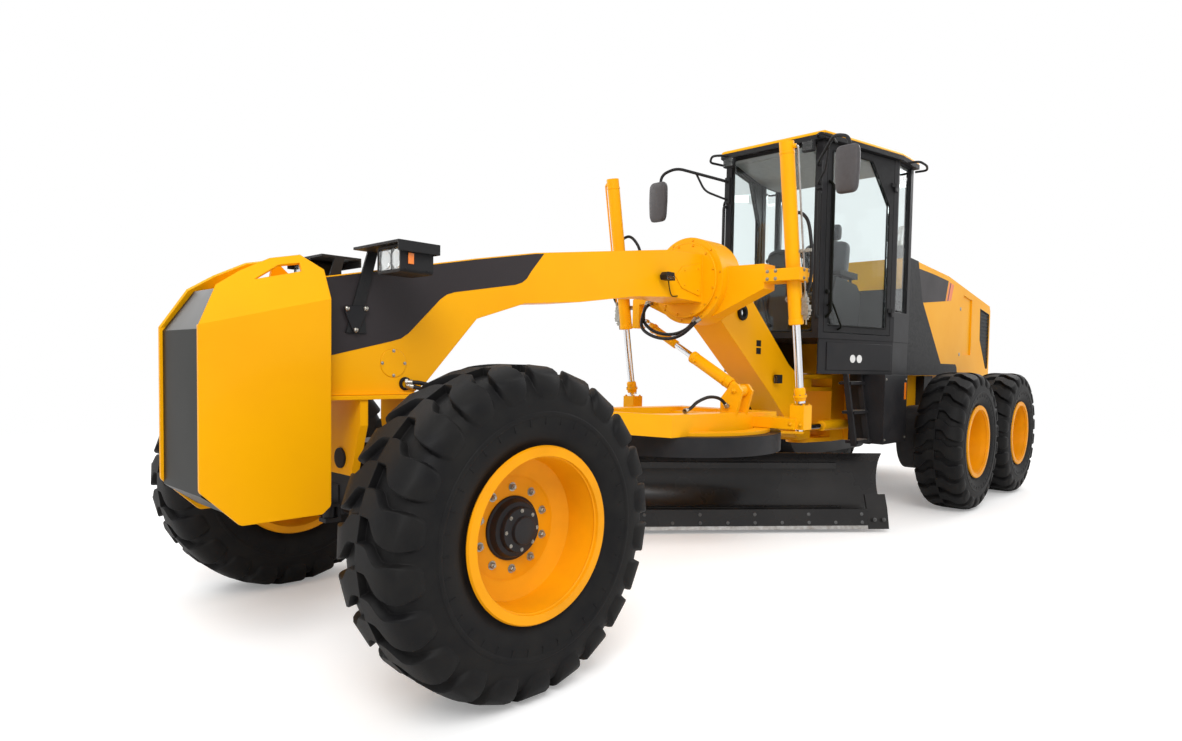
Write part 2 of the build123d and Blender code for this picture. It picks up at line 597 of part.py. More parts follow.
# ---------------------------------------------------------------- drawbar
DRAWBAR_TOP_Z = 1010
DRAWBAR_SIDE = [(3330, 1020), (2400, 930), (1900, DRAWBAR_PLATE_Z), (560, DRAWBAR_PLATE_Z),
                (560, DRAWBAR_TOP_Z), (1900, 1030), (3330, 1130)]
with BuildPart() as drawbar:
    # plan of the A-frame, cut to the side profile
    with BuildSketch(Plane.XY.offset(DRAWBAR_PLATE_Z)):
        with BuildLine():
            Polyline(
                (3330, 90), (3200, 110), (1900, 470), (560, 470),
                (560, -470), (1900, -470), (3200, -110), (3330, -90), close=True,
            )
        make_face()
        with BuildLine():
            Polyline((2750, 0), (1900, 290), (1700, 330), (760, 330), (760, -330), (1700, -330), (1900, -290), close=True)
        make_face(mode=Mode.SUBTRACT)
    extrude(amount=300)
    slab(DRAWBAR_SIDE, Plane.XZ, 600, both=True, mode=Mode.INTERSECT)
    # ball at the front
    round_bar((3300, 0, DRAWBAR_BALL[2]), (3440, 0, DRAWBAR_BALL[2]), 45)
    with Locations(DRAWBAR_BALL):
        Sphere(60)
    # bearing plate over the circle
    with BuildSketch(Plane.XY.offset(DRAWBAR_PLATE_Z)):
        with Locations((CIRCLE_X, 0)):
            Circle(CIRCLE_BORE_R + 30)
            Circle(CIRCLE_BORE_R - 90, mode=Mode.SUBTRACT)
    extrude(amount=24)
    # cross beam with the lift balls' brackets
    block((745, -LIFT_BALL[1], 905), (905, LIFT_BALL[1], 985))
    for side in (1, -1):
        ball = left_right(LIFT_BALL, side)
        block((ball.X - 60, ball.Y - 58, 905), (ball.X + 60, ball.Y + 58, ball.Z + 30))
        cheek = Vector(0, LIFT_BALL_R + SEAT_GAP, 0)
        round_bar(ball - cheek, ball + cheek, LIFT_CUP_R, mode=Mode.SUBTRACT)
        block(
            (ball.X - LIFT_CUP_R, ball.Y - cheek.Y, ball.Z),
            (ball.X + LIFT_CUP_R, ball.Y + cheek.Y, ball.Z + 40), mode=Mode.SUBTRACT,
        )
    # gusset that carries the centre-shift cylinder
    for x in (SHIFT_PIN[0] - SHIFT_BARREL_R - 34, SHIFT_PIN[0] + SHIFT_BARREL_R + 8):
        slab([(330, 1000), (470, 1000), (520, 1180), (480, 1230), (420, 1230), (330, 1120)],
             Plane.YZ.offset(x), 26)
    round_bar(
        (SHIFT_PIN[0] - SHIFT_BARREL_R - 20, SHIFT_PIN[1], SHIFT_PIN[2]),
        (SHIFT_PIN[0] - SHIFT_EYE_HALF - SEAT_GAP, SHIFT_PIN[1], SHIFT_PIN[2]), 30,
    )
    round_bar(
        (SHIFT_PIN[0] + SHIFT_EYE_HALF + SEAT_GAP, SHIFT_PIN[1], SHIFT_PIN[2]),
        (SHIFT_PIN[0] + SHIFT_BARREL_R + 20, SHIFT_PIN[1], SHIFT_PIN[2]), 30,
    )
save(drawbar, "drawbar")


# ---------------------------------------------------------------- circle, blade and its carrier
# these are laid out from the circle's centre: x ahead of it, y towards the blade's left end
ahead = Vector(cos(radians(BLADE_ANGLE)), sin(radians(BLADE_ANGLE)), 0)
leftward = Vector(-sin(radians(BLADE_ANGLE)), cos(radians(BLADE_ANGLE)), 0)
circle_centre = Vector(CIRCLE_X, 0, 0)


def on_circle(x, y, z):
    return circle_centre + ahead * x + leftward * y + Vector(0, 0, z)


def blade_section(y):
    """A plane across the blade: its x runs ahead, its y up."""
    return Plane(origin=on_circle(0, y, 0), x_dir=ahead, z_dir=leftward * -1)


ARM_Y = 560
ARM_THICK = 60
TIP_PIN = (-640, 250)         # ahead of the circle's centre, height
TIP_PIN_R = 30
TIP_ANCHOR = (-1000, 650)
TIP_EYE = (-620, 590)
TIP_EYE_HALF = 36
TIP_SIDE_GAP = 0.3
TIP_EAR = 20
with BuildPart() as circle:
    with BuildSketch(Plane(origin=on_circle(0, 0, CIRCLE_LOW_Z), x_dir=ahead, z_dir=(0, 0, 1))):
        Circle(CIRCLE_R)
        Circle(CIRCLE_BORE_R, mode=Mode.SUBTRACT)
        # teeth stand inward from the bore
        pitch = 2 * pi * CIRCLE_BORE_R / TOOTH_COUNT
        with PolarLocations(CIRCLE_BORE_R, TOOTH_COUNT):
            Polygon((4, -0.32 * pitch), (4, 0.32 * pitch), (-TOOTH_DEPTH, 0.15 * pitch),
                    (-TOOTH_DEPTH, -0.15 * pitch), align=None)
    extrude(amount=CIRCLE_TOP_Z - CIRCLE_LOW_Z)
    for side in (1, -1):
        slab(
            [(-410, CIRCLE_LOW_Z + 20), (-740, CIRCLE_LOW_Z), (-740, 600), (-730, 230),
             (-690, 200), (-630, 200), (-610, 230), (-625, 560), (-560, 670), (-410, 700)],
            blade_section(side * ARM_Y), ARM_THICK / 2, both=True,
        )
        round_bar(
            on_circle(TIP_PIN[0], side * (ARM_Y - 40), TIP_PIN[1]),
            on_circle(TIP_PIN[0], side * (ARM_Y + 40), TIP_PIN[1]),
            TIP_PIN_R + PIN_GAP, mode=Mode.SUBTRACT,
        )
        # ears behind the cross beam, for the tip cylinder
        slab(
            [(-735, 735), (-735, 705), (-940, 615), (TIP_ANCHOR[0] - 20, 615), (TIP_ANCHOR[0] - 36, 650),
             (TIP_ANCHOR[0] - 20, 690), (-900, 735)],
            blade_section(side * (TIP_EYE_HALF + TIP_SIDE_GAP + TIP_EAR / 2)), TIP_EAR / 2, both=True,
        )
    slab([(-740, 694), (-740, CIRCLE_LOW_Z), (-690, CIRCLE_LOW_Z), (-690, 694)], blade_section(-ARM_Y), -2 * ARM_Y)
save(circle, "circle")

edge = -BLADE_BACK
with BuildPart() as blade:
    # mouldboard: an even plate curved from the cutting edge to the top
    with BuildSketch(blade_section(-BLADE_LENGTH / 2)):
        with BuildLine():
            ThreePointArc((edge - 45, 150), (edge - 270, 380), (edge - 190, 640))
            Line((edge - 190, 640), (edge - 190 - BLADE_PLATE, 640))
            ThreePointArc(
                (edge - 190 - BLADE_PLATE, 640), (edge - 270 - BLADE_PLATE, 380), (edge - 45 - BLADE_PLATE - 8, 150)
            )
            Line((edge - 45 - BLADE_PLATE - 8, 150), (edge - 45, 150))
        make_face()
        with BuildLine():
            Polyline(
                (edge, BLADE_LOW_Z), (edge - 42, 190), (edge - 64, 190), (edge - 22, BLADE_LOW_Z), close=True
            )
        make_face()
    extrude(amount=-BLADE_LENGTH)
    # slide rails along the back
    rail_half = 1450
    for low, high in ((150, 200), (500, 550)):
        slab(
            [(edge - 100 if low < 300 else edge - 240, low), (edge - 360, low), (edge - 360, high),
             (edge - 100 if low < 300 else edge - 240, high)],
            blade_section(-rail_half), -2 * rail_half,
        )
    # end bits bolted over the plate's outer ends
    for end in (1, -1):
        slab(
            [(edge + 2, BLADE_LOW_Z), (edge - 22, BLADE_LOW_Z), (edge - 64, 190), (edge - 118, 300),
             (edge - 98, 306), (edge - 42, 190)],
            blade_section(end * BLADE_LENGTH / 2), end * END_BIT_WIDTH,
        )
save(blade, "blade")

# carrier between the circle's arms; it tips about their feet
CARRIER_Y = 455
rail_back = edge - 360 - SEAT_GAP
with BuildPart() as blade_carrier:
    for side in (1, -1):
        slab(
            [(rail_back, 140), (edge - 445, 200), (edge - 470, 250), (edge - 445, 300), (edge - 400, 420),
             (edge - 400, 565), (rail_back, 565)],
            blade_section(side * CARRIER_Y), 28, both=True,
        )
        # ears at the top for the tip cylinder's eye
        slab(
            [(edge - 385, 540), (edge - 385, 440), (TIP_EYE[0] - 30, 500), (TIP_EYE[0] - 34, 590),
             (TIP_EYE[0], 624), (TIP_EYE[0] + 30, 600), (rail_back, 560)],
            blade_section(side * (TIP_EYE_HALF + TIP_SIDE_GAP + TIP_EAR / 2)), TIP_EAR / 2, both=True,
        )
        round_bar(
            on_circle(TIP_PIN[0], side * (ARM_Y - 80), TIP_PIN[1]),
            on_circle(TIP_PIN[0], side * (ARM_Y + ARM_THICK / 2 + 6), TIP_PIN[1]), TIP_PIN_R,
        )
    # lower tube between the pins, upper bar behind the blade's upper rail
    round_bar(
        on_circle(TIP_PIN[0], -ARM_Y + ARM_THICK / 2 + 5, TIP_PIN[1]),
        on_circle(TIP_PIN[0], ARM_Y - ARM_THICK / 2 - 5, TIP_PIN[1]), 45,
    )
    slab(
        [(rail_back, 440), (edge - 400, 440), (edge - 400, 540), (rail_back, 540)],
        blade_section(-CARRIER_Y), -2 * CARRIER_Y,
    )
save(blade_carrier, "blade_carrier")

TIP_BARREL_R = 32
TIP_ROD_R = 18
anchor = on_circle(TIP_ANCHOR[0], 0, TIP_ANCHOR[1])
tip_eye = on_circle(TIP_EYE[0], 0, TIP_EYE[1])
with BuildPart() as tip_barrel:
    round_bar(anchor - leftward * TIP_EYE_HALF, anchor + leftward * TIP_EYE_HALF, 30)
    round_bar(anchor, between(anchor, tip_eye, 0.13), 20)
    round_bar(between(anchor, tip_eye, 0.12), between(anchor, tip_eye, 0.83), TIP_BARREL_R)
    round_bar(
        between(anchor, tip_eye, 0.14), between(anchor, tip_eye, 0.85), TIP_ROD_R + SEAT_GAP, mode=Mode.SUBTRACT
    )
save(tip_barrel, "tip_barrel")

with BuildPart() as tip_rod:
    round_bar(between(anchor, tip_eye, 0.24), tip_eye, TIP_ROD_R)
    round_bar(tip_eye - leftward * TIP_EYE_HALF, tip_eye + leftward * TIP_EYE_HALF, 28)
save(tip_rod, "tip_rod")

# ---------------------------------------------------------------- rear frame
RAIL_Y = 430
RAIL_TOP_Z = 1300
HOOD_LOW_Z = RAIL_TOP_Z + SEAT_GAP
TOW_BORE_X = -4700
TOW_BORE_R = 20.5
with BuildPart() as rear_frame:
    # side rails from the hinge to the tail
    for side in (1, -1):
        slab(
            [(-1240, 720), (-1240, 1290), (-1300, 1300), (-4560, 1300), (-4560, 1000), (-3900, 960),
             (-2300, 940), (-1500, 900)],
            Plane.XZ.offset(-side * RAIL_Y), side * 40,
        )
        # ears for the articulation cylinders' barrels
        pin_x, pin_y, pin_z = ARTIC_PIN
        for low in (pin_z - ARTIC_EYE_HALF - SEAT_GAP - 22, pin_z + ARTIC_EYE_HALF + SEAT_GAP):
            slab(
                [(-1245, side * 400), (-1245, side * 260), (pin_x, side * (pin_y - 44)), (pin_x + 40, side * pin_y),
                 (pin_x, side * (pin_y + 44)), (-1200, side * 400)],
                Plane.XY.offset(low), 22,
            )
    for x in (-2000, -3400, -4400):
        block((x - 40, -RAIL_Y, 1040), (x + 40, RAIL_Y, 1260))
    # wall behind the hinge and the narrow box that carries its forks
    block((-1280, -RAIL_Y, 648), (-1240, RAIL_Y, 1302))
    for side in (1, -1):
        low_y, high_y = sorted((side * 150, side * 190))
        block((-1241, low_y, 648), (-960, high_y, 1302))
    block((-990, -160, 648), (-960, 160, 1302))
    # forks round the front frame's hinge lugs
    for low in (LUG_LOW_Z, LUG_HIGH_Z):
        for level in (low - FORK_GAP - FORK_THICK, low + LUG_THICK + FORK_GAP):
            slab(
                [(HINGE_X, -110), (HINGE_X, 110), (-960, 190), (-1000, 190), (-1000, -190), (-960, -190)],
                Plane.XY.offset(level), FORK_THICK,
            )
            round_bar((HINGE_X, 0, level), (HINGE_X, 0, level + FORK_THICK), 110)
        round_bar(
            (HINGE_X, 0, low - FORK_GAP - FORK_THICK),
            (HINGE_X, 0, low + LUG_THICK + FORK_GAP + FORK_THICK), HINGE_PIN_R,
        )
    # brackets that carry the cab
    for side in (1, -1):
        low_y, high_y = sorted((side * (RAIL_Y - 10), side * 600))
        block((-1420, low_y, 1240), (-1300, high_y, LOCKER_LOW_Z - SEAT_GAP))
    # tail bumper and its tow tongue
    block((-4650, -560, 980), (-4560, 560, 1300))
    tongue = [(-4640, -110), (-4640, 110), (TOW_BORE_X, 50), (TOW_BORE_X - 46, 24), (TOW_BORE_X - 46, -24), (TOW_BORE_X, -50)]
    slab(tongue, Plane.XY.offset(1000), 40)
    round_bar((TOW_BORE_X, 0, 990), (TOW_BORE_X, 0, 1050), TOW_BORE_R, mode=Mode.SUBTRACT)
save(rear_frame, "rear_frame")

CASE_Y = (600, 850)
CASE_R = 320
with BuildPart() as tandems:
    for side in (1, -1):
        with BuildSketch(Plane.XZ.offset(-side * CASE_Y[0])):
            with Locations((TANDEM_X, TYRE_R)):
                SlotCenterToCenter(TANDEM_SPACING, 2 * CASE_R)
        extrude(amount=-side * (CASE_Y[1] - CASE_Y[0]))
        for x in (FIRST_AXLE_X, LAST_AXLE_X):
            hub_y = side * (WHEEL_Y + RIM_HALF - 290 - 30 - SEAT_GAP)
            round_bar((x, side * CASE_Y[1], TYRE_R), (x, hub_y, TYRE_R), 130)
    round_bar((TANDEM_X, -CASE_Y[0], 770), (TANDEM_X, CASE_Y[0], 770), 135)
    with Locations((TANDEM_X, 0, 760)):
        Sphere(200)
    for side in (1, -1):
        low_y, high_y = sorted((side * (RAIL_Y + SEAT_GAP), side * 520))
        block((TANDEM_X - 130, low_y, 800), (TANDEM_X + 130, high_y, RAIL_TOP_Z - SEAT_GAP))
save(tandems, "tandems")

with BuildPart() as engine:
    block((-3900, -RAIL_Y + 20, HOOD_LOW_Z), (-2500, RAIL_Y - 20, 2050))
save(engine, "engine")

# ---------------------------------------------------------------- hood
HOOD_HALF_LOW = 590
HOOD_WALL = 30
HOOD_PROFILE = [
    (-1760, HOOD_LOW_Z), (-1760, 2500), (-1900, 2500), (-3000, 2440), (-4600, 2215), (-4640, 2150),
    (-4640, HOOD_LOW_Z),
]
EXHAUST_X = -3050
EXHAUST_R = 75
RECESS = [(-3540, 2270), (-3540, 1560), (-3870, 1560), (-3870, 2235)]      # access panel on each side
CORNER = [(-4200, 2160), (-4222, 1760), (-4500, 1400), (-4590, 1400), (-4590, 2110)]   # side grille
with BuildPart() as hood:
    slab(HOOD_PROFILE, Plane.XZ, HOOD_HALF_LOW, both=True)
    slab([(-1790, 1300), (-1790, 2470), (-1900, 2470), (-3000, 2410), (-4570, 2190), (-4610, 2140), (-4610, 1300)],
         Plane.XZ, HOOD_HALF_LOW - HOOD_WALL, both=True, mode=Mode.SUBTRACT)
    round_bar((EXHAUST_X, 0, 2300), (EXHAUST_X, 0, 2500), EXHAUST_R + SEAT_GAP, mode=Mode.SUBTRACT)
    for side in (1, -1):
        cheek = Plane.XZ.offset(-side * (HOOD_HALF_LOW - 18))
        slab(RECESS, cheek, -side * 40, mode=Mode.SUBTRACT)
        slab(CORNER, cheek, -side * 40, mode=Mode.SUBTRACT)
save(hood, "hood")

with BuildPart() as exhaust:
    round_bar((EXHAUST_X, 0, 2380), (EXHAUST_X, 0, 2900), EXHAUST_R)
    round_bar((EXHAUST_X, 0, 2880), (EXHAUST_X - 60, 0, 3070), 60)
save(exhaust, "exhaust")

# ---------------------------------------------------------------- cab
# half plan, front to rear: x, y
CAB_PLAN = [(-60, 490), (-1070, 740), (-1430, 740)]
front_x, front_y = CAB_PLAN[0]
side_x, side_y = CAB_PLAN[1]
rear_x, rear_y = CAB_PLAN[2]
# the doors lie in the oblique planes from the front pillars to the side pillars
door_run = Vector(side_x - front_x, side_y - front_y, 0)
DOOR_LINE = door_run.length
door_run = door_run.normalized()
door_out = Vector(-door_run.Y, door_run.X, 0) * -1
DOOR_GAP = 6
DOOR_HINGE_Z = (1850, 3000)
DOOR_HINGE_R = 12
HINGE_OUT = 14                # door hinge's axis outside the door's plane
HINGE_LEAF = 36


def on_door(along_door, outward, side):
    """A point in plan, by its distance along the door's plane and out of it."""
    place = Vector(front_x, front_y, 0) + door_run * along_door + door_out * outward
    return (place.X, place.Y * side)


with BuildPart() as cab_shell:
    outline = [(x, y) for x, y in CAB_PLAN] + [(x, -y) for x, y in reversed(CAB_PLAN)]
    slab(outline, Plane.XY.offset(CAB_FLOOR_Z), CAB_FLOOR)
    pillar_height = CAB_TOP_Z - CAB_FLOOR_Z
    for side in (1, -1):
        base = Plane.XY.offset(CAB_FLOOR_Z)
        front_pillar = [
            (front_x, side * front_y), (front_x, side * (front_y - PILLAR)),
            (front_x - PILLAR, side * (front_y - PILLAR)), on_door(PILLAR, -DOOR_THICK - 10, side),
            on_door(PILLAR, 0, side),
        ]
        slab(front_pillar, base, pillar_height)
        side_pillar = [
            on_door(DOOR_LINE - PILLAR, 0, side), (side_x, side * side_y),
            (side_x - 20, side * side_y), (side_x - 20, side * (side_y - PILLAR)),
            on_door(DOOR_LINE - PILLAR, -DOOR_THICK - 10, side),
        ]
        slab(side_pillar, base, pillar_height)
        rear_pillar = [
            (rear_x, side * rear_y), (rear_x + PILLAR, side * rear_y),
            (rear_x + PILLAR, side * (rear_y - PILLAR)), (rear_x, side * (rear_y - PILLAR)),
        ]
        slab(rear_pillar, base, pillar_height)
        # side locker below the door, beside the leg's swing
        slab(
            [(-90, side * 470), (-90, side * 482), (-1070, side * 735), (rear_x, side * 735), (rear_x, side * 470)],
            Plane.XY.offset(LOCKER_LOW_Z), CAB_FLOOR_Z - LOCKER_LOW_Z,
        )
        # low wall behind the door
        low_y, high_y = sorted((side * (side_y - 40), side * side_y))
        block((rear_x, low_y, CAB_FLOOR_Z), (side_x - 10, high_y, 1900))
        # pillar halves of the door's two hinges
        for level in DOOR_HINGE_Z:
            pin = on_door(DOOR_LINE - PILLAR - DOOR_GAP / 2, HINGE_OUT, side)
            leaf = [
                on_door(DOOR_LINE - PILLAR - DOOR_GAP / 2, HINGE_OUT + 8, side),
                on_door(DOOR_LINE - PILLAR - DOOR_GAP / 2, HINGE_OUT - 8, side),
                on_door(DOOR_LINE - PILLAR + 1, -2, side), on_door(DOOR_LINE - 20, -2, side),
                on_door(DOOR_LINE - 20, HINGE_OUT, side),
            ]
            slab(leaf, Plane.XY.offset(level), HINGE_LEAF)
            round_bar((pin[0], pin[1], level), (pin[0], pin[1], level + HINGE_LEAF), DOOR_HINGE_R)
    block((rear_x, -rear_y, CAB_FLOOR_Z), (rear_x + 40, rear_y, 2150))
save(cab_shell, "cab_shell")

with BuildPart() as cab_roof:
    over = 40
    outline = [(x + over if x > -100 else x - (over if x < -1200 else 0), y + over) for x, y in CAB_PLAN]
    outline = outline + [(x, -y) for x, y in reversed(outline)]
    slab(outline, Plane.XY.offset(CAB_TOP_Z), ROOF_THICK)
    chamfer(cab_roof.edges().group_by(Axis.Z)[-1], ROOF_CHAMFER)
save(cab_roof, "cab_roof")

GLASS_GAP = 0.3
DOOR_LOW_Z = CAB_FLOOR_Z + CAB_FLOOR + 6
DOOR_HIGH_Z = CAB_TOP_Z - 6
FRAME_WIDTH = 55

with BuildPart() as cab_glass:
    # windscreen between the front pillars
    block(
        (front_x - 30, -front_y + PILLAR + GLASS_GAP, CAB_FLOOR_Z + CAB_FLOOR + GLASS_GAP),
        (front_x - 30 + GLASS, front_y - PILLAR - GLASS_GAP, CAB_TOP_Z - GLASS_GAP),
    )
    # rear window
    block(
        (rear_x + 20, -rear_y + PILLAR + GLASS_GAP, 2150 + GLASS_GAP), (rear_x + 20 + GLASS, rear_y - PILLAR - GLASS_GAP, CAB_TOP_Z - GLASS_GAP)
    )
    # quarter windows behind the doors
    for side in (1, -1):
        low_y, high_y = sorted((side * (side_y - 30), side * (side_y - 30 + GLASS)))
        block(
            (rear_x + PILLAR + GLASS_GAP, low_y, 1900 + GLASS_GAP),
            (side_x - 20 - GLASS_GAP, high_y, CAB_TOP_Z - GLASS_GAP),
        )
save(cab_glass, "cab_glass")

for name, side in (("left", 1), ("right", -1)):
    start = on_door(PILLAR + DOOR_GAP, 0, side)
    run = Vector(door_run.X, door_run.Y * side, 0)
    length = DOOR_LINE - 2 * (PILLAR + DOOR_GAP)
    height = DOOR_HIGH_Z - DOOR_LOW_Z
    # x along the door, y up, normal into the cab
    inner_way = Vector(-door_out.X, -door_out.Y * side, 0)
    plane = Plane(origin=(start[0], start[1], DOOR_LOW_Z), x_dir=run, z_dir=inner_way)
    if plane.y_dir.Z < 0:
        plane = Plane(origin=plane.origin, x_dir=run, z_dir=inner_way * -1)
    inward = 1 if plane.z_dir.dot(inner_way) > 0 else -1
    opening = [
        (FRAME_WIDTH, FRAME_WIDTH), (length - FRAME_WIDTH, FRAME_WIDTH),
        (length - FRAME_WIDTH, height - 420), (length - FRAME_WIDTH - 260, height - FRAME_WIDTH),
        (FRAME_WIDTH, height - FRAME_WIDTH),
    ]
    with BuildPart() as door:
        slab([(0, 0), (length, 0), (length, height), (0, height)], plane, inward * DOOR_THICK)
        slab(opening, plane, inward * DOOR_THICK, mode=Mode.SUBTRACT)
        # door halves of the hinges stand on the pillar's halves
        for level in DOOR_HINGE_Z:
            low = level + HINGE_LEAF + SEAT_GAP
            middle = DOOR_LINE - PILLAR - DOOR_GAP / 2
            pin = on_door(middle, HINGE_OUT, side)
            leaf = [
                on_door(middle, HINGE_OUT + 8, side), on_door(middle, HINGE_OUT - 8, side),
                on_door(middle - DOOR_GAP, -2, side), on_door(middle - 45, -2, side),
                on_door(middle - 45, HINGE_OUT, side),
            ]
            slab(leaf, Plane.XY.offset(low), HINGE_LEAF)
            round_bar((pin[0], pin[1], low), (pin[0], pin[1], low + HINGE_LEAF), DOOR_HINGE_R)
    save(door, f"door_{name}")
    with BuildPart() as door_glass:
        slab(opening, plane.offset(inward * 12), inward * GLASS)
    save(door_glass, f"door_glass_{name}")

# ---------------------------------------------------------------- inside the cab
with BuildPart() as seat:
    block((-1130, -250, CAB_FLOOR_Z + CAB_FLOOR), (-800, 250, 1960))
    block((-1150, -250, 1960), (-640, 250, 2080))
    slab([(-1150, 2080), (-1010, 2080), (-1100, 2620), (-1220, 2620)], Plane.XZ, 230, both=True)
    slab([(-1200, 2640), (-1110, 2640), (-1130, 2800), (-1210, 2800)], Plane.XZ, 130, both=True)
    slab([(-1150, 2590), (-1130, 2590), (-1150, 2660), (-1180, 2660)], Plane.XZ, 60, both=True)
save(seat, "seat")

with BuildPart() as steering_column:
    slab([(-380, CAB_FLOOR_Z + CAB_FLOOR), (-200, CAB_FLOOR_Z + CAB_FLOOR), (-300, 2250), (-420, 2250)], Plane.XZ, 110, both=True)
    round_bar((-360, 0, 2245), (-400, 0, 2330), 24)
    with BuildSketch(Plane(origin=(-400, 0, 2330), z_dir=(-0.4, 0, 0.9))) as wheel:
        Circle(200)
        Circle(176, mode=Mode.SUBTRACT)
        Rectangle(370, 30)
        Circle(45)
    extrude(wheel.sketch, amount=24)
save(steering_column, "steering_column")

# ---------------------------------------------------------------- mirrors
with BuildPart() as mirrors:
    for side in (1, -1):
        root = Vector(front_x + 0.3, side * (front_y - 24), 3080)
        elbow = Vector(330, side * 780, 3180)
        tip = Vector(370, side * 930, 3130)
        foot = root + Vector(40, 0, 0)
        round_bar(root, foot + Vector(8, 0, 0), 14)
        round_bar(foot, between(foot, elbow, 1.02), 14)
        round_bar(between(elbow, tip, -0.06), between(elbow, tip, 1.06), 14)
        round_bar(tip + Vector(0, 0, 6), tip - Vector(0, 0, 180), 12)
        low_y, high_y = sorted((side * 830, side * 1030))
        block((376, low_y, 2690), (436, high_y, 3060))
save(mirrors, "mirrors")

# ---------------------------------------------------------------- ladders and side boxes
with BuildPart() as ladders:
    for side in (1, -1):
        for x in (-450, -730):
            slab([(side * 600, LOCKER_LOW_Z - SEAT_GAP), (side * 560, LOCKER_LOW_Z - SEAT_GAP), (side * 560, 1270),
                  (side * 650, 680), (side * 700, 680)],
                 Plane.YZ.offset(x), 30)
        for level in (700, 960, 1220):
            y = 650 - (level - 680) * 90 / 590
            low_y, high_y = sorted((side * (y - 60), side * (y + 60)))
            block((-730, low_y, level), (-440, high_y, level + 25))
save(ladders, "ladders")

with BuildPart() as fuel_tank:
    for side in (1, -1):
        # narrower ahead of the rail's end, beside the articulation cylinder
        slab(
            [(-1290, side * (RAIL_Y + SEAT_GAP)), (-1230, side * (RAIL_Y + SEAT_GAP)), (-1160, side * 465),
             (-760, side * 465), (-760, side * 800), (-1290, side * 800)],
            Plane.XY.offset(680), LOCKER_LOW_Z - SEAT_GAP - 680,
        )
save(fuel_tank, "side_boxes")

# ---------------------------------------------------------------- hood's dark side panels and grille
with BuildPart() as hood_panels:
    for side in (1, -1):
        slab(
            [(-1500, 1310), (-1500, 1900), (-1760, 2500), (-1990, 2490), (-2140, 2090), (-2780, 1420), (-2800, 1310)],
            Plane.XZ.offset(-side * (HOOD_HALF_LOW + SEAT_GAP)), -side * 20,
        )
save(hood_panels, "hood_panels")

GRILLE_Z = (1400, 2100)
SLAT_PITCH = 50
with BuildPart() as grille:
    # rear grille: a frame round slanted slats
    with BuildSketch(Plane.YZ.offset(-4640 - SEAT_GAP)) as border:
        with Locations((0, sum(GRILLE_Z) / 2)):
            Rectangle(900, GRILLE_Z[1] - GRILLE_Z[0])
            Rectangle(820, GRILLE_Z[1] - GRILLE_Z[0] - 80, mode=Mode.SUBTRACT)
    extrude(border.sketch, amount=-25)
    block((-4646, -420, GRILLE_Z[0] + 20), (-4640 - SEAT_GAP, 420, GRILLE_Z[1] - 20))
    slats = int((GRILLE_Z[1] - GRILLE_Z[0] - 80) / SLAT_PITCH)
    for number in range(slats):
        low = GRILLE_Z[0] + 46 + number * SLAT_PITCH
        slab([(-4645, low + 26), (-4662, low), (-4662, low + 6), (-4645, low + 34)],
             Plane.XZ, 412, both=True)
save(grille, "grille")

# ---------------------------------------------------------------- articulation cylinders
ARTIC_ROD_R = 25
for name, side in (("left", 1), ("right", -1)):
    pin = left_right(ARTIC_PIN, side)
    eye = left_right(ARTIC_EYE, side)
    with BuildPart() as artic_barrel:
        round_bar(pin - Vector(0, 0, ARTIC_EYE_HALF), pin + Vector(0, 0, ARTIC_EYE_HALF), 42)
        round_bar(pin, between(pin, eye, 0.1), 26)
        round_bar(between(pin, eye, 0.09), between(pin, eye, 0.62), 48)
        round_bar(
            between(pin, eye, 0.12), between(pin, eye, 0.63), ARTIC_ROD_R + SEAT_GAP, mode=Mode.SUBTRACT
        )
    save(artic_barrel, f"artic_barrel_{name}")
    with BuildPart() as artic_rod:
        round_bar(between(pin, eye, 0.34), eye, ARTIC_ROD_R)
        round_bar(eye - Vector(0, 0, ARTIC_EYE_HALF), eye + Vector(0, 0, ARTIC_EYE_HALF), 40)
    save(artic_rod, f"artic_rod_{name}")
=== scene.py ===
import math

import bmesh
import bpy
from mathutils import Matrix, Vector


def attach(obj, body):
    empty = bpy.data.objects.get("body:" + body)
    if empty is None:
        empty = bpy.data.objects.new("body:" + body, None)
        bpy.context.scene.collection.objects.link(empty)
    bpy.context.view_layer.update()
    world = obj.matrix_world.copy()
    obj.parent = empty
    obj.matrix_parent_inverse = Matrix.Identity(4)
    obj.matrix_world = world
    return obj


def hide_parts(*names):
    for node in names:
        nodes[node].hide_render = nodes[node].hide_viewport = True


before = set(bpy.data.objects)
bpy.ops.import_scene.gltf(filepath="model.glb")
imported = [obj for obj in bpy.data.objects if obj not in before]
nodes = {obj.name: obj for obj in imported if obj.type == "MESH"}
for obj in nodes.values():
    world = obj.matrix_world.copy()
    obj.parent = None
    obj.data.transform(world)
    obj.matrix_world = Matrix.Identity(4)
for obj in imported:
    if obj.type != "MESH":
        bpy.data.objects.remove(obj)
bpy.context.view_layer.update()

SIDES = (("left", 1), ("right", -1))
FORWARD, LEFT, UP = Vector((1, 0, 0)), Vector((0, 1, 0)), Vector((0, 0, 1))


def place_object(name, data):
    made = bpy.data.objects.new(name, data)
    bpy.context.scene.collection.objects.link(made)
    return made


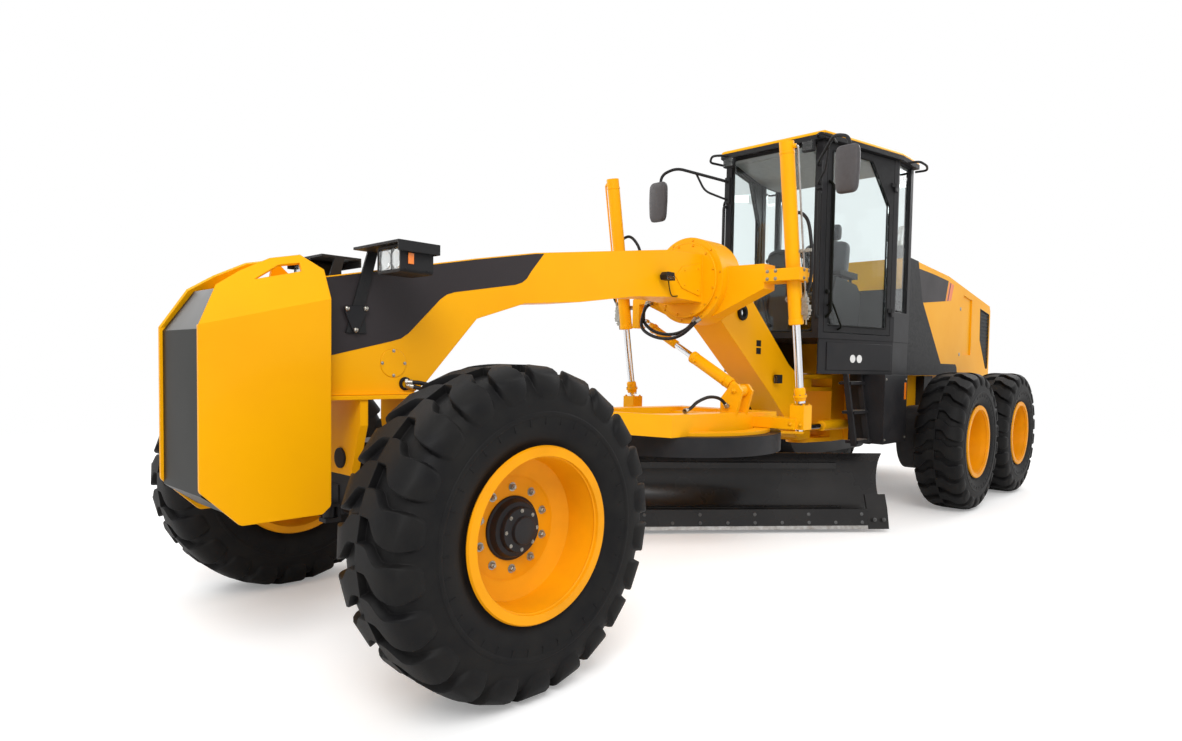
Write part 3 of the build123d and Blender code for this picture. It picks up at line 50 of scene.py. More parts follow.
# ---------------------------------------------------------------- camera, light, floor
def make_camera():
    """The photograph's view: place, heading, slope and roll of the camera, then its lens."""
    yaw, pitch, roll = 0.7276, -0.0433, 0.0183
    place = (5.6431, 3.4257, 1.3468)
    ahead = Vector((-math.cos(yaw) * math.cos(pitch), -math.sin(yaw) * math.cos(pitch), math.sin(pitch)))
    level = ahead.cross(UP).normalized()
    upright = level.cross(ahead)
    right = level * math.cos(roll) + upright * math.sin(roll)
    up = upright * math.cos(roll) - level * math.sin(roll)
    data = bpy.data.cameras.new("camera")
    data.sensor_width = 36
    data.lens = 22.065
    data.shift_x = -0.0326
    data.shift_y = 0.023
    data.clip_end = 200
    camera = place_object("camera", data)
    turn = Matrix((right, up, -ahead)).transposed().to_4x4()
    camera.matrix_world = Matrix.Translation(place) @ turn
    bpy.context.scene.camera = camera


def make_light(name, place, target, size, power):
    data = bpy.data.lights.new(name, "AREA")
    data.size = size
    data.energy = power
    lamp = place_object(name, data)
    lamp.location = place
    lamp.rotation_euler = (Vector(target) - Vector(place)).to_track_quat("-Z", "Y").to_euler()


def set_inputs(tree, node, inputs):
    """Each input gets a value, or a link where the value is another node's output."""
    for key, value in inputs.items():
        if isinstance(value, bpy.types.NodeSocket):
            tree.links.new(value, node.inputs[key])
        else:
            node.inputs[key].default_value = value


def add_node(tree, kind, inputs=None, **settings):
    node = tree.nodes.new("ShaderNode" + kind)
    for key, value in settings.items():
        setattr(node, key, value)
    set_inputs(tree, node, inputs or {})
    return node


def empty_tree(owner):
    owner.use_nodes = True
    owner.node_tree.nodes.clear()
    return owner.node_tree


def make_world():
    """White where it's seen, mirrored or seen through glass, and half way there as light."""
    world = bpy.data.worlds.new("studio")
    bpy.context.scene.world = world
    tree = empty_tree(world)
    lit = add_node(tree, "Background", {"Color": (1.0, 0.98, 0.95, 1), "Strength": 0.5})
    seen = add_node(tree, "Background", {"Color": (1, 1, 1, 1), "Strength": 1.0})
    path = add_node(tree, "LightPath")
    shown = 0.5
    for ray in ("Is Camera Ray", "Is Glossy Ray", "Is Transmission Ray"):
        shown = add_node(tree, "Math", {0: path.outputs[ray], 1: shown}, operation="MAXIMUM").outputs[0]
    mix = add_node(tree, "MixShader", {0: shown, 1: lit.outputs[0], 2: seen.outputs[0]})
    add_node(tree, "OutputWorld", {0: mix.outputs[0]})


def make_floor():
    """A white floor that fades into the background away from the object."""
    reach = 60
    fade_start, fade_end = 6, 13
    mesh = bpy.data.meshes.new("floor")
    corners = [(-reach, -reach, 0), (reach, -reach, 0), (reach, reach, 0), (-reach, reach, 0)]
    mesh.from_pydata(corners, [], [(0, 1, 2, 3)])
    floor = place_object("floor", mesh)
    floor.location.z = -0.0005
    material = bpy.data.materials.new("floor_white")
    tree = empty_tree(material)
    matt = add_node(tree, "BsdfDiffuse", {"Color": (0.9, 0.9, 0.9, 1)})
    path = add_node(tree, "LightPath")
    share = add_node(tree, "Math", {0: path.outputs["Is Camera Ray"], 1: 0.22}, operation="MULTIPLY")
    glow = add_node(tree, "Emission", {"Strength": share.outputs[0]})
    both = add_node(tree, "AddShader", {0: matt.outputs[0], 1: glow.outputs[0]})
    spot = add_node(tree, "TexCoord")
    away = add_node(tree, "VectorMath", {0: spot.outputs["Object"]}, operation="LENGTH")
    fade = add_node(tree, "MapRange", {"Value": away.outputs["Value"], "From Min": fade_start,
                                       "From Max": fade_end})
    clear = add_node(tree, "BsdfTransparent")
    blend = add_node(tree, "MixShader", {0: fade.outputs[0], 1: both.outputs[0], 2: clear.outputs[0]})
    add_node(tree, "OutputMaterial", {0: blend.outputs[0]})
    mesh.materials.append(material)


def make_stage():
    make_world()
    make_floor()
    make_light("key", (9, 7, 9), (0, 0, 1), 6, 900)
    make_light("fill", (4, -10, 7), (0, 0, 1), 7, 420)
    make_light("back", (-10, 2, 8), (-1, 0, 1), 6, 420)
    bpy.context.scene.view_settings.view_transform = "Standard"


# ---------------------------------------------------------------- materials
DUST = (0.36, 0.32, 0.27, 1)
DUST_TOP = 1.3


def make_material(name, colour, rough, metal=0.0, coat=0.0, shade=None, grain=18.0, bump=0.0,
                  bump_scale=220.0, dust=0.0, edge=0.0, streak=1.0, shine=0.5):
    """A painted, cast, moulded or rubber surface: two close tones, uneven gloss, fine bump, dust low down.

    shade is the second tone, grain the size of its patches, edge the rounding of sharp edges in metres.
    """
    material = bpy.data.materials.new(name)
    material.use_nodes = True
    tree = material.node_tree
    place = add_node(tree, "TexCoord").outputs["Object"]
    stretch = add_node(tree, "Mapping", {"Vector": place, "Scale": (1, 1, streak)})
    noise = add_node(tree, "TexNoise", {"Vector": stretch.outputs[0], "Scale": grain,
                                        "Detail": 5}).outputs["Fac"]
    soft = add_node(tree, "MapRange", {"Value": noise, "From Min": 0.35, "From Max": 0.7})
    second = shade or [c * 0.86 for c in colour]
    tone = add_node(tree, "Mix", {"Factor": soft.outputs[0], "A": (*colour, 1), "B": (*second, 1)},
                    data_type="RGBA").outputs["Result"]
    if dust:
        height = add_node(tree, "SeparateXYZ", {0: place}).outputs["Z"]
        low = add_node(tree, "MapRange", {"Value": height, "From Min": DUST_TOP, "From Max": 0.0,
                                          "To Max": dust})
        patch = add_node(tree, "Math", {0: low.outputs[0], 1: noise}, operation="MULTIPLY")
        tone = add_node(tree, "Mix", {"Factor": patch.outputs[0], "A": tone, "B": DUST},
                        data_type="RGBA").outputs["Result"]
    gloss = add_node(tree, "MapRange", {"Value": noise, "To Min": max(rough - 0.07, 0.02),
                                        "To Max": rough + 0.1})
    finish = {"Metallic": metal, "Coat Weight": coat, "Coat Roughness": 0.08, "Specular IOR Level": shine,
              "Base Color": tone, "Roughness": gloss.outputs[0]}
    if edge:
        finish["Normal"] = add_node(tree, "Bevel", {"Radius": edge}, samples=4).outputs[0]
    if bump:
        fine = add_node(tree, "TexNoise", {"Vector": place, "Scale": bump_scale, "Detail": 3})
        relief = {"Strength": bump, "Distance": 0.002, "Height": fine.outputs["Fac"]}
        if edge:
            relief["Normal"] = finish["Normal"]
        finish["Normal"] = add_node(tree, "Bump", relief).outputs[0]
    set_inputs(tree, tree.nodes["Principled BSDF"], finish)
    return material


def make_glass(name, colour, rough=0.0):
    """Clear glass that light passes through without a dark shadow."""
    material = bpy.data.materials.new(name)
    material.use_nodes = True
    tree = material.node_tree
    shader = tree.nodes["Principled BSDF"]
    set_inputs(tree, shader, {"Base Color": (*colour, 1), "Transmission Weight": 1, "Roughness": rough,
                              "IOR": 1.35})
    clear = add_node(tree, "BsdfTransparent", {"Color": (*colour, 1)})
    path = add_node(tree, "LightPath")
    mix = add_node(tree, "MixShader", {0: path.outputs["Is Shadow Ray"], 1: shader.outputs[0],
                                       2: clear.outputs[0]})
    set_inputs(tree, tree.nodes["Material Output"], {"Surface": mix.outputs[0]})
    return material


def make_fabric(name, colour):
    """Woven seat cloth: two crossed waves under a fine noise, with sheen."""
    material = make_material(name, colour, 0.85, shade=[c * 1.6 for c in colour], grain=60)
    tree = material.node_tree
    place = add_node(tree, "TexCoord").outputs["Object"]
    waves = [add_node(tree, "TexWave", {"Vector": place, "Scale": 160},
                      bands_direction=direction).outputs["Fac"] for direction in "XZ"]
    weave = add_node(tree, "Math", {0: waves[0], 1: waves[1]})
    relief = add_node(tree, "Bump", {"Strength": 0.5, "Distance": 0.001, "Height": weave.outputs[0]})
    set_inputs(tree, tree.nodes["Principled BSDF"], {"Sheen Weight": 0.3, "Normal": relief.outputs[0]})
    return material


YELLOW = (0.93, 0.425, 0.001)
M = {
    "yellow": make_material("yellow_paint", YELLOW, 0.38, coat=0.05, shade=(0.9, 0.39, 0.001), grain=2.2,
                            bump=0.05, bump_scale=90, dust=0.03, edge=0.006, shine=0.13),
    "rim_yellow": make_material("rim_yellow", (0.86, 0.335, 0.001), 0.42, coat=0.04, grain=5, bump=0.06,
                                dust=0.02, edge=0.004, shine=0.12),
    "charcoal": make_material("charcoal_paint", (0.011, 0.011, 0.013), 0.42, grain=6,
                              shade=(0.017, 0.016, 0.017), bump=0.12, dust=0.03, edge=0.004, shine=0.2),
    "blade_black": make_material("blade_black", (0.008, 0.0075, 0.008), 0.26, coat=0.06, grain=3,
                                 shade=(0.013, 0.012, 0.012), bump=0.05, bump_scale=60, dust=0.02, edge=0.003,
                                 shine=0.25),
    "gloss_black": make_material("gloss_black", (0.007, 0.0075, 0.006), 0.3, grain=1.5, edge=0.003,
                                 shine=0.06),
    "plastic": make_material("black_plastic", (0.011, 0.011, 0.012), 0.55, grain=30, bump=0.35,
                             bump_scale=700, edge=0.003, shine=0.25),
    "decal": make_material("dark_band", (0.03, 0.025, 0.027), 0.42, grain=2.5, shine=0.2),
    "orange": make_material("orange_band", (0.85, 0.16, 0.01), 0.35, coat=0.2, grain=4),
    "rubber": make_material("tyre_rubber", (0.0045, 0.0044, 0.005), 0.55, shade=(0.01, 0.0094, 0.0088),
                            grain=9, bump=0.35, bump_scale=320, edge=0.004, shine=0.14),
    "seal": make_material("seal_rubber", (0.008, 0.008, 0.008), 0.6, grain=40, bump=0.2, shine=0.2),
    "hose": make_material("hose_rubber", (0.009, 0.009, 0.01), 0.45, grain=40, bump=0.4, bump_scale=500,
                          shine=0.25),
    "chrome": make_material("chrome_rod", (0.8, 0.81, 0.83), 0.1, metal=1, grain=8, streak=0.1),
    "steel": make_material("worn_steel", (0.42, 0.41, 0.4), 0.38, metal=1, shade=(0.26, 0.24, 0.22), grain=25,
                           bump=0.2, edge=0.003),
    "zinc": make_material("zinc_bolts", (0.4, 0.385, 0.345), 0.38, metal=1, shade=(0.28, 0.265, 0.23),
                          grain=60),
    "pipe": make_material("exhaust_pipe", (0.5, 0.5, 0.5), 0.35, metal=1, shade=(0.33, 0.3, 0.27), grain=14),
    "cast": make_material("cast_iron", (0.1, 0.1, 0.1), 0.6, metal=0.6, grain=40, bump=0.6, bump_scale=260),
    "glass": make_glass("cab_glass", (0.9, 0.95, 0.95)),
    "lens": make_glass("lamp_lens", (0.96, 0.97, 0.95), 0.04),
    "amber": make_material("amber_lens", (0.95, 0.22, 0.01), 0.15, coat=0.6, grain=20),
    "red": make_material("red_lens", (0.6, 0.01, 0.01), 0.15, coat=0.6, grain=20),
    "white": make_material("white_plate", (0.75, 0.75, 0.74), 0.4, grain=10),
    "mirror": make_material("mirror_face", (0.86, 0.88, 0.9), 0.03, metal=1, grain=4),
    "cloth": make_fabric("seat_cloth", (0.022, 0.022, 0.026)),
    "lining": make_material("roof_lining", (0.42, 0.42, 0.41), 0.8, grain=25, bump=0.3, bump_scale=500),
    "housing": make_material("mirror_housing", (0.055, 0.05, 0.052), 0.5, grain=30, bump=0.3, bump_scale=600),
}

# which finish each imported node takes; one name stands for the left and the right node
FINISH = {
    "yellow": ["front_frame", "nose_plates", "saddle", "drawbar", "blade_carrier", "tip_barrel", "rear_frame",
               "hood", "shift_barrel", "lift_barrel", "artic_barrel"],
    "charcoal": ["circle", "front_axle", "tandems", "ladders", "side_boxes", "tie_rod", "knuckle",
                 "steering_barrel", "cab_shell"],
    "blade_black": ["blade"],
    "gloss_black": ["nose_panel"],
    "plastic": ["hood_panels", "grille", "door", "steering_column", "mirrors", "headlamps", "cab_roof"],
    "chrome": ["lift_rod", "shift_rod", "tip_rod", "artic_rod", "steering_rod"],
    "cast": ["engine"],
    "pipe": ["exhaust"],
    "glass": ["cab_glass", "door_glass"],
    "cloth": ["seat"],
}


def finish_nodes():
    table = {node: key for key, members in FINISH.items() for node in members}
    for name, node in nodes.items():
        wheel_part = "rim_yellow" if name.startswith("rim") else "rubber"
        key = table.get(name.removesuffix("_left").removesuffix("_right"), wheel_part)
        node.data.materials.clear()
        node.data.materials.append(M[key])


# ---------------------------------------------------------------- mesh building
def make_piece(name, mesh, body, replaces=(), place=(0, 0, 0), modifier=None, settings=None):
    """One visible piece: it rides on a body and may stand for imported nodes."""
    made = place_object(name, mesh)
    made.location = place
    if modifier:
        change = made.modifiers.new(modifier.lower(), modifier)
        for key, value in settings.items():
            setattr(change, key, value)
    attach(made, body)
    if replaces:
        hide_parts(*replaces)
    return made


def around(count, offset=0.0):
    """Cosine and sine of evenly spaced turns."""
    turns = [2 * math.pi * (number + offset) / count for number in range(count)]
    return [(math.cos(turn), math.sin(turn)) for turn in turns]


class Kit:
    """Collects simple closed shapes, then makes them into one piece."""

    def __init__(self):
        self.points = []
        self.faces = []
        self.soft = []

    def add(self, points, faces, soft=False):
        first = len(self.points)
        self.points += [tuple(point) for point in points]
        self.faces += [[first + index for index in face] for face in faces]
        self.soft += [soft] * len(faces)

    def mirror(self):
        """Adds the right-hand image of the left-hand shapes collected so far."""
        first = len(self.points)
        self.points += [(x, -y, z) for x, y, z in self.points]
        self.faces += [[first + index for index in face] for face in self.faces]
        self.soft += self.soft

    def skin(self, rings, soft=False):
        """A closed skin over rings of equally many points, with a flat face at each end."""
        rings = [list(ring) for ring in rings]
        count = len(rings[0])
        last = count * (len(rings) - 1)
        faces = [list(range(count)), list(range(last, last + count))]
        for first in range(0, last, count):
            for step in range(count):
                after = (step + 1) % count
                faces.append([first + step, first + after, first + count + after, first + count + step])
        self.add([point for ring in rings for point in ring], faces, soft)

    def prism(self, outline, axis, low, high):
        """A plate from a flat outline: axis x, y or z is its thickness, the outline takes the other two."""
        place = {"x": lambda a, b, c: (c, a, b), "y": lambda a, b, c: (a, c, b),
                 "z": lambda a, b, c: (a, b, c)}[axis]
        self.skin([place(a, b, c) for a, b in outline] for c in (low, high))

    def block(self, one, other):
        """A box between two opposite corners."""
        (x, y, z), (far_x, far_y, far_z) = one, other
        self.prism([(x, y), (far_x, y), (far_x, far_y), (x, far_y)], "z", z, far_z)

    def turned(self, profile, origin, axis, count=32, soft=True):
        """A closed turned shape from (distance along the axis, radius) pairs.

        The profile either starts and ends at radius 0 or closes on its own first pair.
        """
        origin, axis = Vector(origin), Vector(axis).normalized()
        side = axis.cross(UP if abs(axis.z) < 0.9 else FORWARD).normalized()
        other = axis.cross(side)
        points, rows = [], []
        for distance, radius in profile:
            centre = origin + axis * distance
            if radius < 1e-6:
                rows.append([len(points)] * count)
                points.append(centre)
                continue
            rows.append(list(range(len(points), len(points) + count)))
            points += [centre + (side * cos + other * sin) * radius for cos, sin in around(count)]
        faces = []
        for near, far in zip(rows, rows[1:] + ([rows[0]] if profile[0][1] > 1e-6 else [])):
            for step in range(count):
                after = (step + 1) % count
                face = list(dict.fromkeys([near[step], near[after], far[after], far[step]]))
                if len(face) > 2:
                    faces.append(face)
        self.add(points, faces, soft)

    def rod(self, start, end, radius, count=20, lip=0.0):
        start, end = Vector(start), Vector(end)
        length = (end - start).length
        edge = lip or radius * 0.15
        self.turned([(0, 0), (0, radius - edge), (edge, radius), (length - edge, radius),
                     (length, radius - edge), (length, 0)], start, end - start, count)

    def bolt(self, place, outward, radius=0.012, height=None):
        """A washer, a hexagon head and the end of its stud."""
        tall = height or radius * 0.9
        self.turned([(0, 0), (0, radius * 1.5), (radius * 0.18, radius * 1.5), (radius * 0.2, 0)], place,
                    outward, 14)
        self.turned([(0, 0), (0, radius), (tall * 0.85, radius), (tall, radius * 0.82), (tall, 0)],
                    place, outward, 6, soft=False)
        self.turned([(0, 0), (0, radius * 0.5), (tall * 1.35, radius * 0.5), (tall * 1.45, 0)], place,
                    outward, 10)

    def tube(self, path, radius, count=10):
        """A bent tube along a list of points."""
        path = [Vector(point) for point in path]
        side, rings = None, []
        for index, point in enumerate(path):
            ahead = (path[min(index + 1, len(path) - 1)] - path[max(index - 1, 0)]).normalized()
            if side is None:
                side = ahead.cross(UP if abs(ahead.z) < 0.9 else FORWARD)
            side = (side - ahead * side.dot(ahead)).normalized()
            other = ahead.cross(side)
            rings.append([point + (side * cos + other * sin) * radius for cos, sin in around(count)])
        self.skin(rings, True)

    def pipe(self, points, bend, radius, count=10, steps=6):
        """A tube of straight runs whose corners are rounded."""
        self.tube(bent(points, bend, steps), radius, count)

    def mesh(self, name, material, side=1, sharp=38):
        """The mesh of all shapes, as built or, with side -1, as its right-hand image."""
        mesh = bpy.data.meshes.new(name)
        mesh.from_pydata([(x, side * y, z) for x, y, z in self.points], [], self.faces)
        work = bmesh.new()
        work.from_mesh(mesh)
        bmesh.ops.recalc_face_normals(work, faces=work.faces)
        work.to_mesh(mesh)
        work.free()
        mesh.polygons.foreach_set("use_smooth", self.soft)
        mesh.set_sharp_from_angle(angle=math.radians(sharp))
        mesh.materials.append(M[material])
        return mesh

    def make(self, name, material, body, slot, bevel=0.0, replaces=(), side=1):
        rounding = {"width": bevel, "segments": 2, "limit_method": "ANGLE", "angle_limit": math.radians(40)}
        return make_piece(name, self.mesh(name, material, side), body, replaces,
                          modifier="BEVEL" if bevel else None, settings=rounding)


def catmull(before, start, end, after, t):
    """The point at share t of a Catmull-Rom curve's run from start to end."""
    return 0.5 * ((2 * start) + (end - before) * t + (2 * before - 5 * start + 4 * end - after) * t * t
                  + (3 * start - before - 3 * end + after) * t ** 3)


def curve_through(points, steps=10):
    """A smooth path through points."""
    points = [Vector(point) for point in points]
    points = [points[0] * 2 - points[1]] + points + [points[-1] * 2 - points[-2]]
    path = [catmull(*points[index - 1:index + 3], step / steps)
            for index in range(1, len(points) - 2) for step in range(steps)]
    return path + [points[-2]]


def bent(points, radius, steps=6):
    """A path of straight runs whose corners are rounded."""
    points = [Vector(point) for point in points]
    path = [points[0]]
    for before, corner, after in zip(points, points[1:], points[2:]):
        reach = min(radius, (before - corner).length * 0.45, (after - corner).length * 0.45)
        start = corner + (before - corner).normalized() * reach
        end = corner + (after - corner).normalized() * reach
        for step in range(steps + 1):
            t = step / steps
            path.append(start * (1 - t) ** 2 + corner * 2 * t * (1 - t) + end * t * t)
    path.append(points[-1])
    return path


def between(start, end, share):
    return Vector(start) + (Vector(end) - Vector(start)) * share


def hose(name, points, radius, body, side=1):
    """A hydraulic hose between two fittings."""
    path = curve_through([(x, side * y, z) for x, y, z in points], 12)
    kit = Kit()
    kit.tube(path, radius, 14)
    made = kit.make(name, "hose", body, "black_plastic")
    ends = Kit()
    for tip, inner in ((path[0], path[3]), (path[-1], path[-4])):
        ends.rod(tip, tip + (inner - tip).normalized() * radius * 3.2, radius * 1.35, 12)
        ends.turned([(0, 0), (0, radius * 1.7), (radius * 1.2, radius * 1.7), (radius * 1.2, 0)], tip,
                    inner - tip, 6, soft=False)
    ends.make(f"{name}_fittings", "zinc", body, "steel")


# ---------------------------------------------------------------- wheels
WHEEL_R, WHEEL_Y = 0.674, 1.09
# name, axle's x, side, where the wheel disc's face lies from the tyre's middle plane
WHEELS = (
    ("front_left", 3.75, 1, 0.013), ("front_right", 3.75, -1, 0.013),
    ("middle_left", -1.89, 1, -0.067), ("middle_right", -1.89, -1, -0.067),
    ("rear_left", -3.41, 1, -0.067), ("rear_right", -3.41, -1, -0.067),
)
LUGS = 22
# half of the carcass, crown to bead: distance from the middle plane, radius
CARCASS = (
    (0.0, 0.641), (0.06, 0.641), (0.12, 0.637), (0.16, 0.626), (0.188, 0.604), (0.204, 0.577), (0.2125, 0.55),
    (0.217, 0.525), (0.2188, 0.505), (0.219, 0.492), (0.2218, 0.489), (0.2222, 0.482), (0.2215, 0.474),
    (0.2178, 0.47), (0.216, 0.448), (0.209, 0.418), (0.199, 0.394), (0.1885, 0.376), (0.18, 0.366),
    (0.1776, 0.358), (0.1776, 0.322), (0.15, 0.3185),
)
# one half lug from the crown to the sidewall: outer point (distance out, radius), buried point,
# shift along the tread and half width
LUG_PATH = (
    (-0.006, 0.6738, -0.006, 0.632, 0.000, 0.05), (0.03, 0.674, 0.03, 0.632, 0.000, 0.05),
    (0.056, 0.674, 0.056, 0.632, 0.003, 0.05), (0.074, 0.6738, 0.074, 0.631, 0.016, 0.051),
    (0.094, 0.6732, 0.094, 0.63, 0.04, 0.053), (0.112, 0.672, 0.112, 0.628, 0.058, 0.055),
    (0.13, 0.6695, 0.13, 0.624, 0.067, 0.058), (0.16, 0.662, 0.158, 0.614, 0.072, 0.064),
    (0.186, 0.648, 0.18, 0.598, 0.075, 0.068), (0.204, 0.628, 0.194, 0.58, 0.077, 0.067),
    (0.2145, 0.606, 0.203, 0.562, 0.078, 0.062), (0.22, 0.584, 0.208, 0.548, 0.079, 0.055),
    (0.2215, 0.566, 0.21, 0.538, 0.08, 0.047), (0.2185, 0.548, 0.209, 0.532, 0.081, 0.036),
)
LUG_SECTION = ((1, 1.18), (0.62, 1.06), (0.09, 1.0), (0, 0.93), (0, -0.93), (0.09, -1.0), (0.62, -1.06),
               (1, -1.18))
LUG_R = 0.66


def tyre_mesh():
    """The carcass, its two rows of bent lugs, half a pitch apart, and the fine ribs of the sidewalls."""
    kit = Kit()
    profile = [(-y, radius) for y, radius in reversed(CARCASS[1:])] + list(CARCASS)
    kit.turned(profile, (0, 0, 0), LEFT, LUGS * 6)
    for side in (1, -1):
        for number in range(LUGS):
            start = 2 * math.pi * (number + (0.5 if side < 0 else 0)) / LUGS
            rings = []
            for y, outer, low_y, low, shift, half in LUG_PATH:
                ring = []
                for share, width in LUG_SECTION:
                    radius = outer + (low - outer) * share
                    turn = start + (shift + half * width) / LUG_R
                    ring.append((math.cos(turn) * radius, side * (y + (low_y - y) * share),
                                 -math.sin(turn) * radius))
                rings.append(ring)
            kit.skin(rings, True)
        for across, up in around(36):
            out, edge = Vector((across, 0, up)), Vector((-up, 0, across)) * 0.0016
            corners = [out * radius + edge * way
                       for radius, way in ((0.44, -1), (0.44, 1), (0.468, 1), (0.468, -1))]
            kit.skin([corner + LEFT * side * y for corner in corners] for y in (0.212, 0.2186))
    return kit


def make_wheels():
    tread = tyre_mesh().mesh("tread", "rubber")
    for name, x, side, face in WHEELS:
        body = f"wheel_{name}"
        centre = Vector((x, side * WHEEL_Y, WHEEL_R))
        make_piece(f"tread_{name}", tread, body, (f"tyre_{name}",), centre)

        out = LEFT * side
        on_disc = centre + out * face
        hub = Kit()
        hub.turned([(0.0, 0), (0.0, 0.133), (0.007, 0.133), (0.01, 0.13), (0.012, 0.123), (0.0375, 0.1118),
                    (0.0415, 0.094), (0.0635, 0.09), (0.0675, 0.064), (0.07, 0.0575), (0.088, 0.056),
                    (0.091, 0.052), (0.0915, 0)], on_disc, out, 48)
        hub.make(f"hub_{name}", "charcoal", body, "charcoal_paint")
        nuts = Kit()
        for across, up in around(10, 0.5):
            nuts.bolt(on_disc + Vector((across, 0, up)) * 0.17, out, 0.0125, 0.016)
        for across, up in around(8):
            nuts.bolt(on_disc + Vector((across, 0, up)) * 0.079 + out * 0.0652, out, 0.0055)
        nuts.make(f"nuts_{name}", "zinc", body, "steel")
        ring = Kit()
        for y, radius, thick in ((0.197, 0.3205, 0.0075), (0.186, 0.313, 0.006)):
            ring.turned([(y + thick * cos, radius + thick * sin) for cos, sin in around(10)], centre, out, 72)
        ring.turned([(0, 0), (0, 0.215), (0.004, 0.212), (0.004, 0)], on_disc - out * 0.0035, out, 64)
        ring.make(f"lock_ring_{name}", "rim_yellow", body, "yellow_paint")


# ---------------------------------------------------------------- beam, nose, lamps
BAND = [(4.2, 1.69), (4.08, 1.729), (3.25, 1.91), (2.83, 1.994), (2.76, 2.004), (2.862, 1.885), (2.89, 1.845),
        (2.925, 1.818), (2.975, 1.8), (3.385, 1.722), (3.432, 1.706), (3.472, 1.678), (3.655, 1.494),
        (3.7, 1.464), (3.755, 1.448), (4.06, 1.372), (4.2, 1.338)]
LAMP_PLATE = [(4.005, 1.59), (3.992, 1.606), (3.893, 1.612), (3.882, 1.598), (3.938, 1.478), (3.956, 1.478)]
BEAM_SIDE = 0.16
SADDLE_Z = 2.015


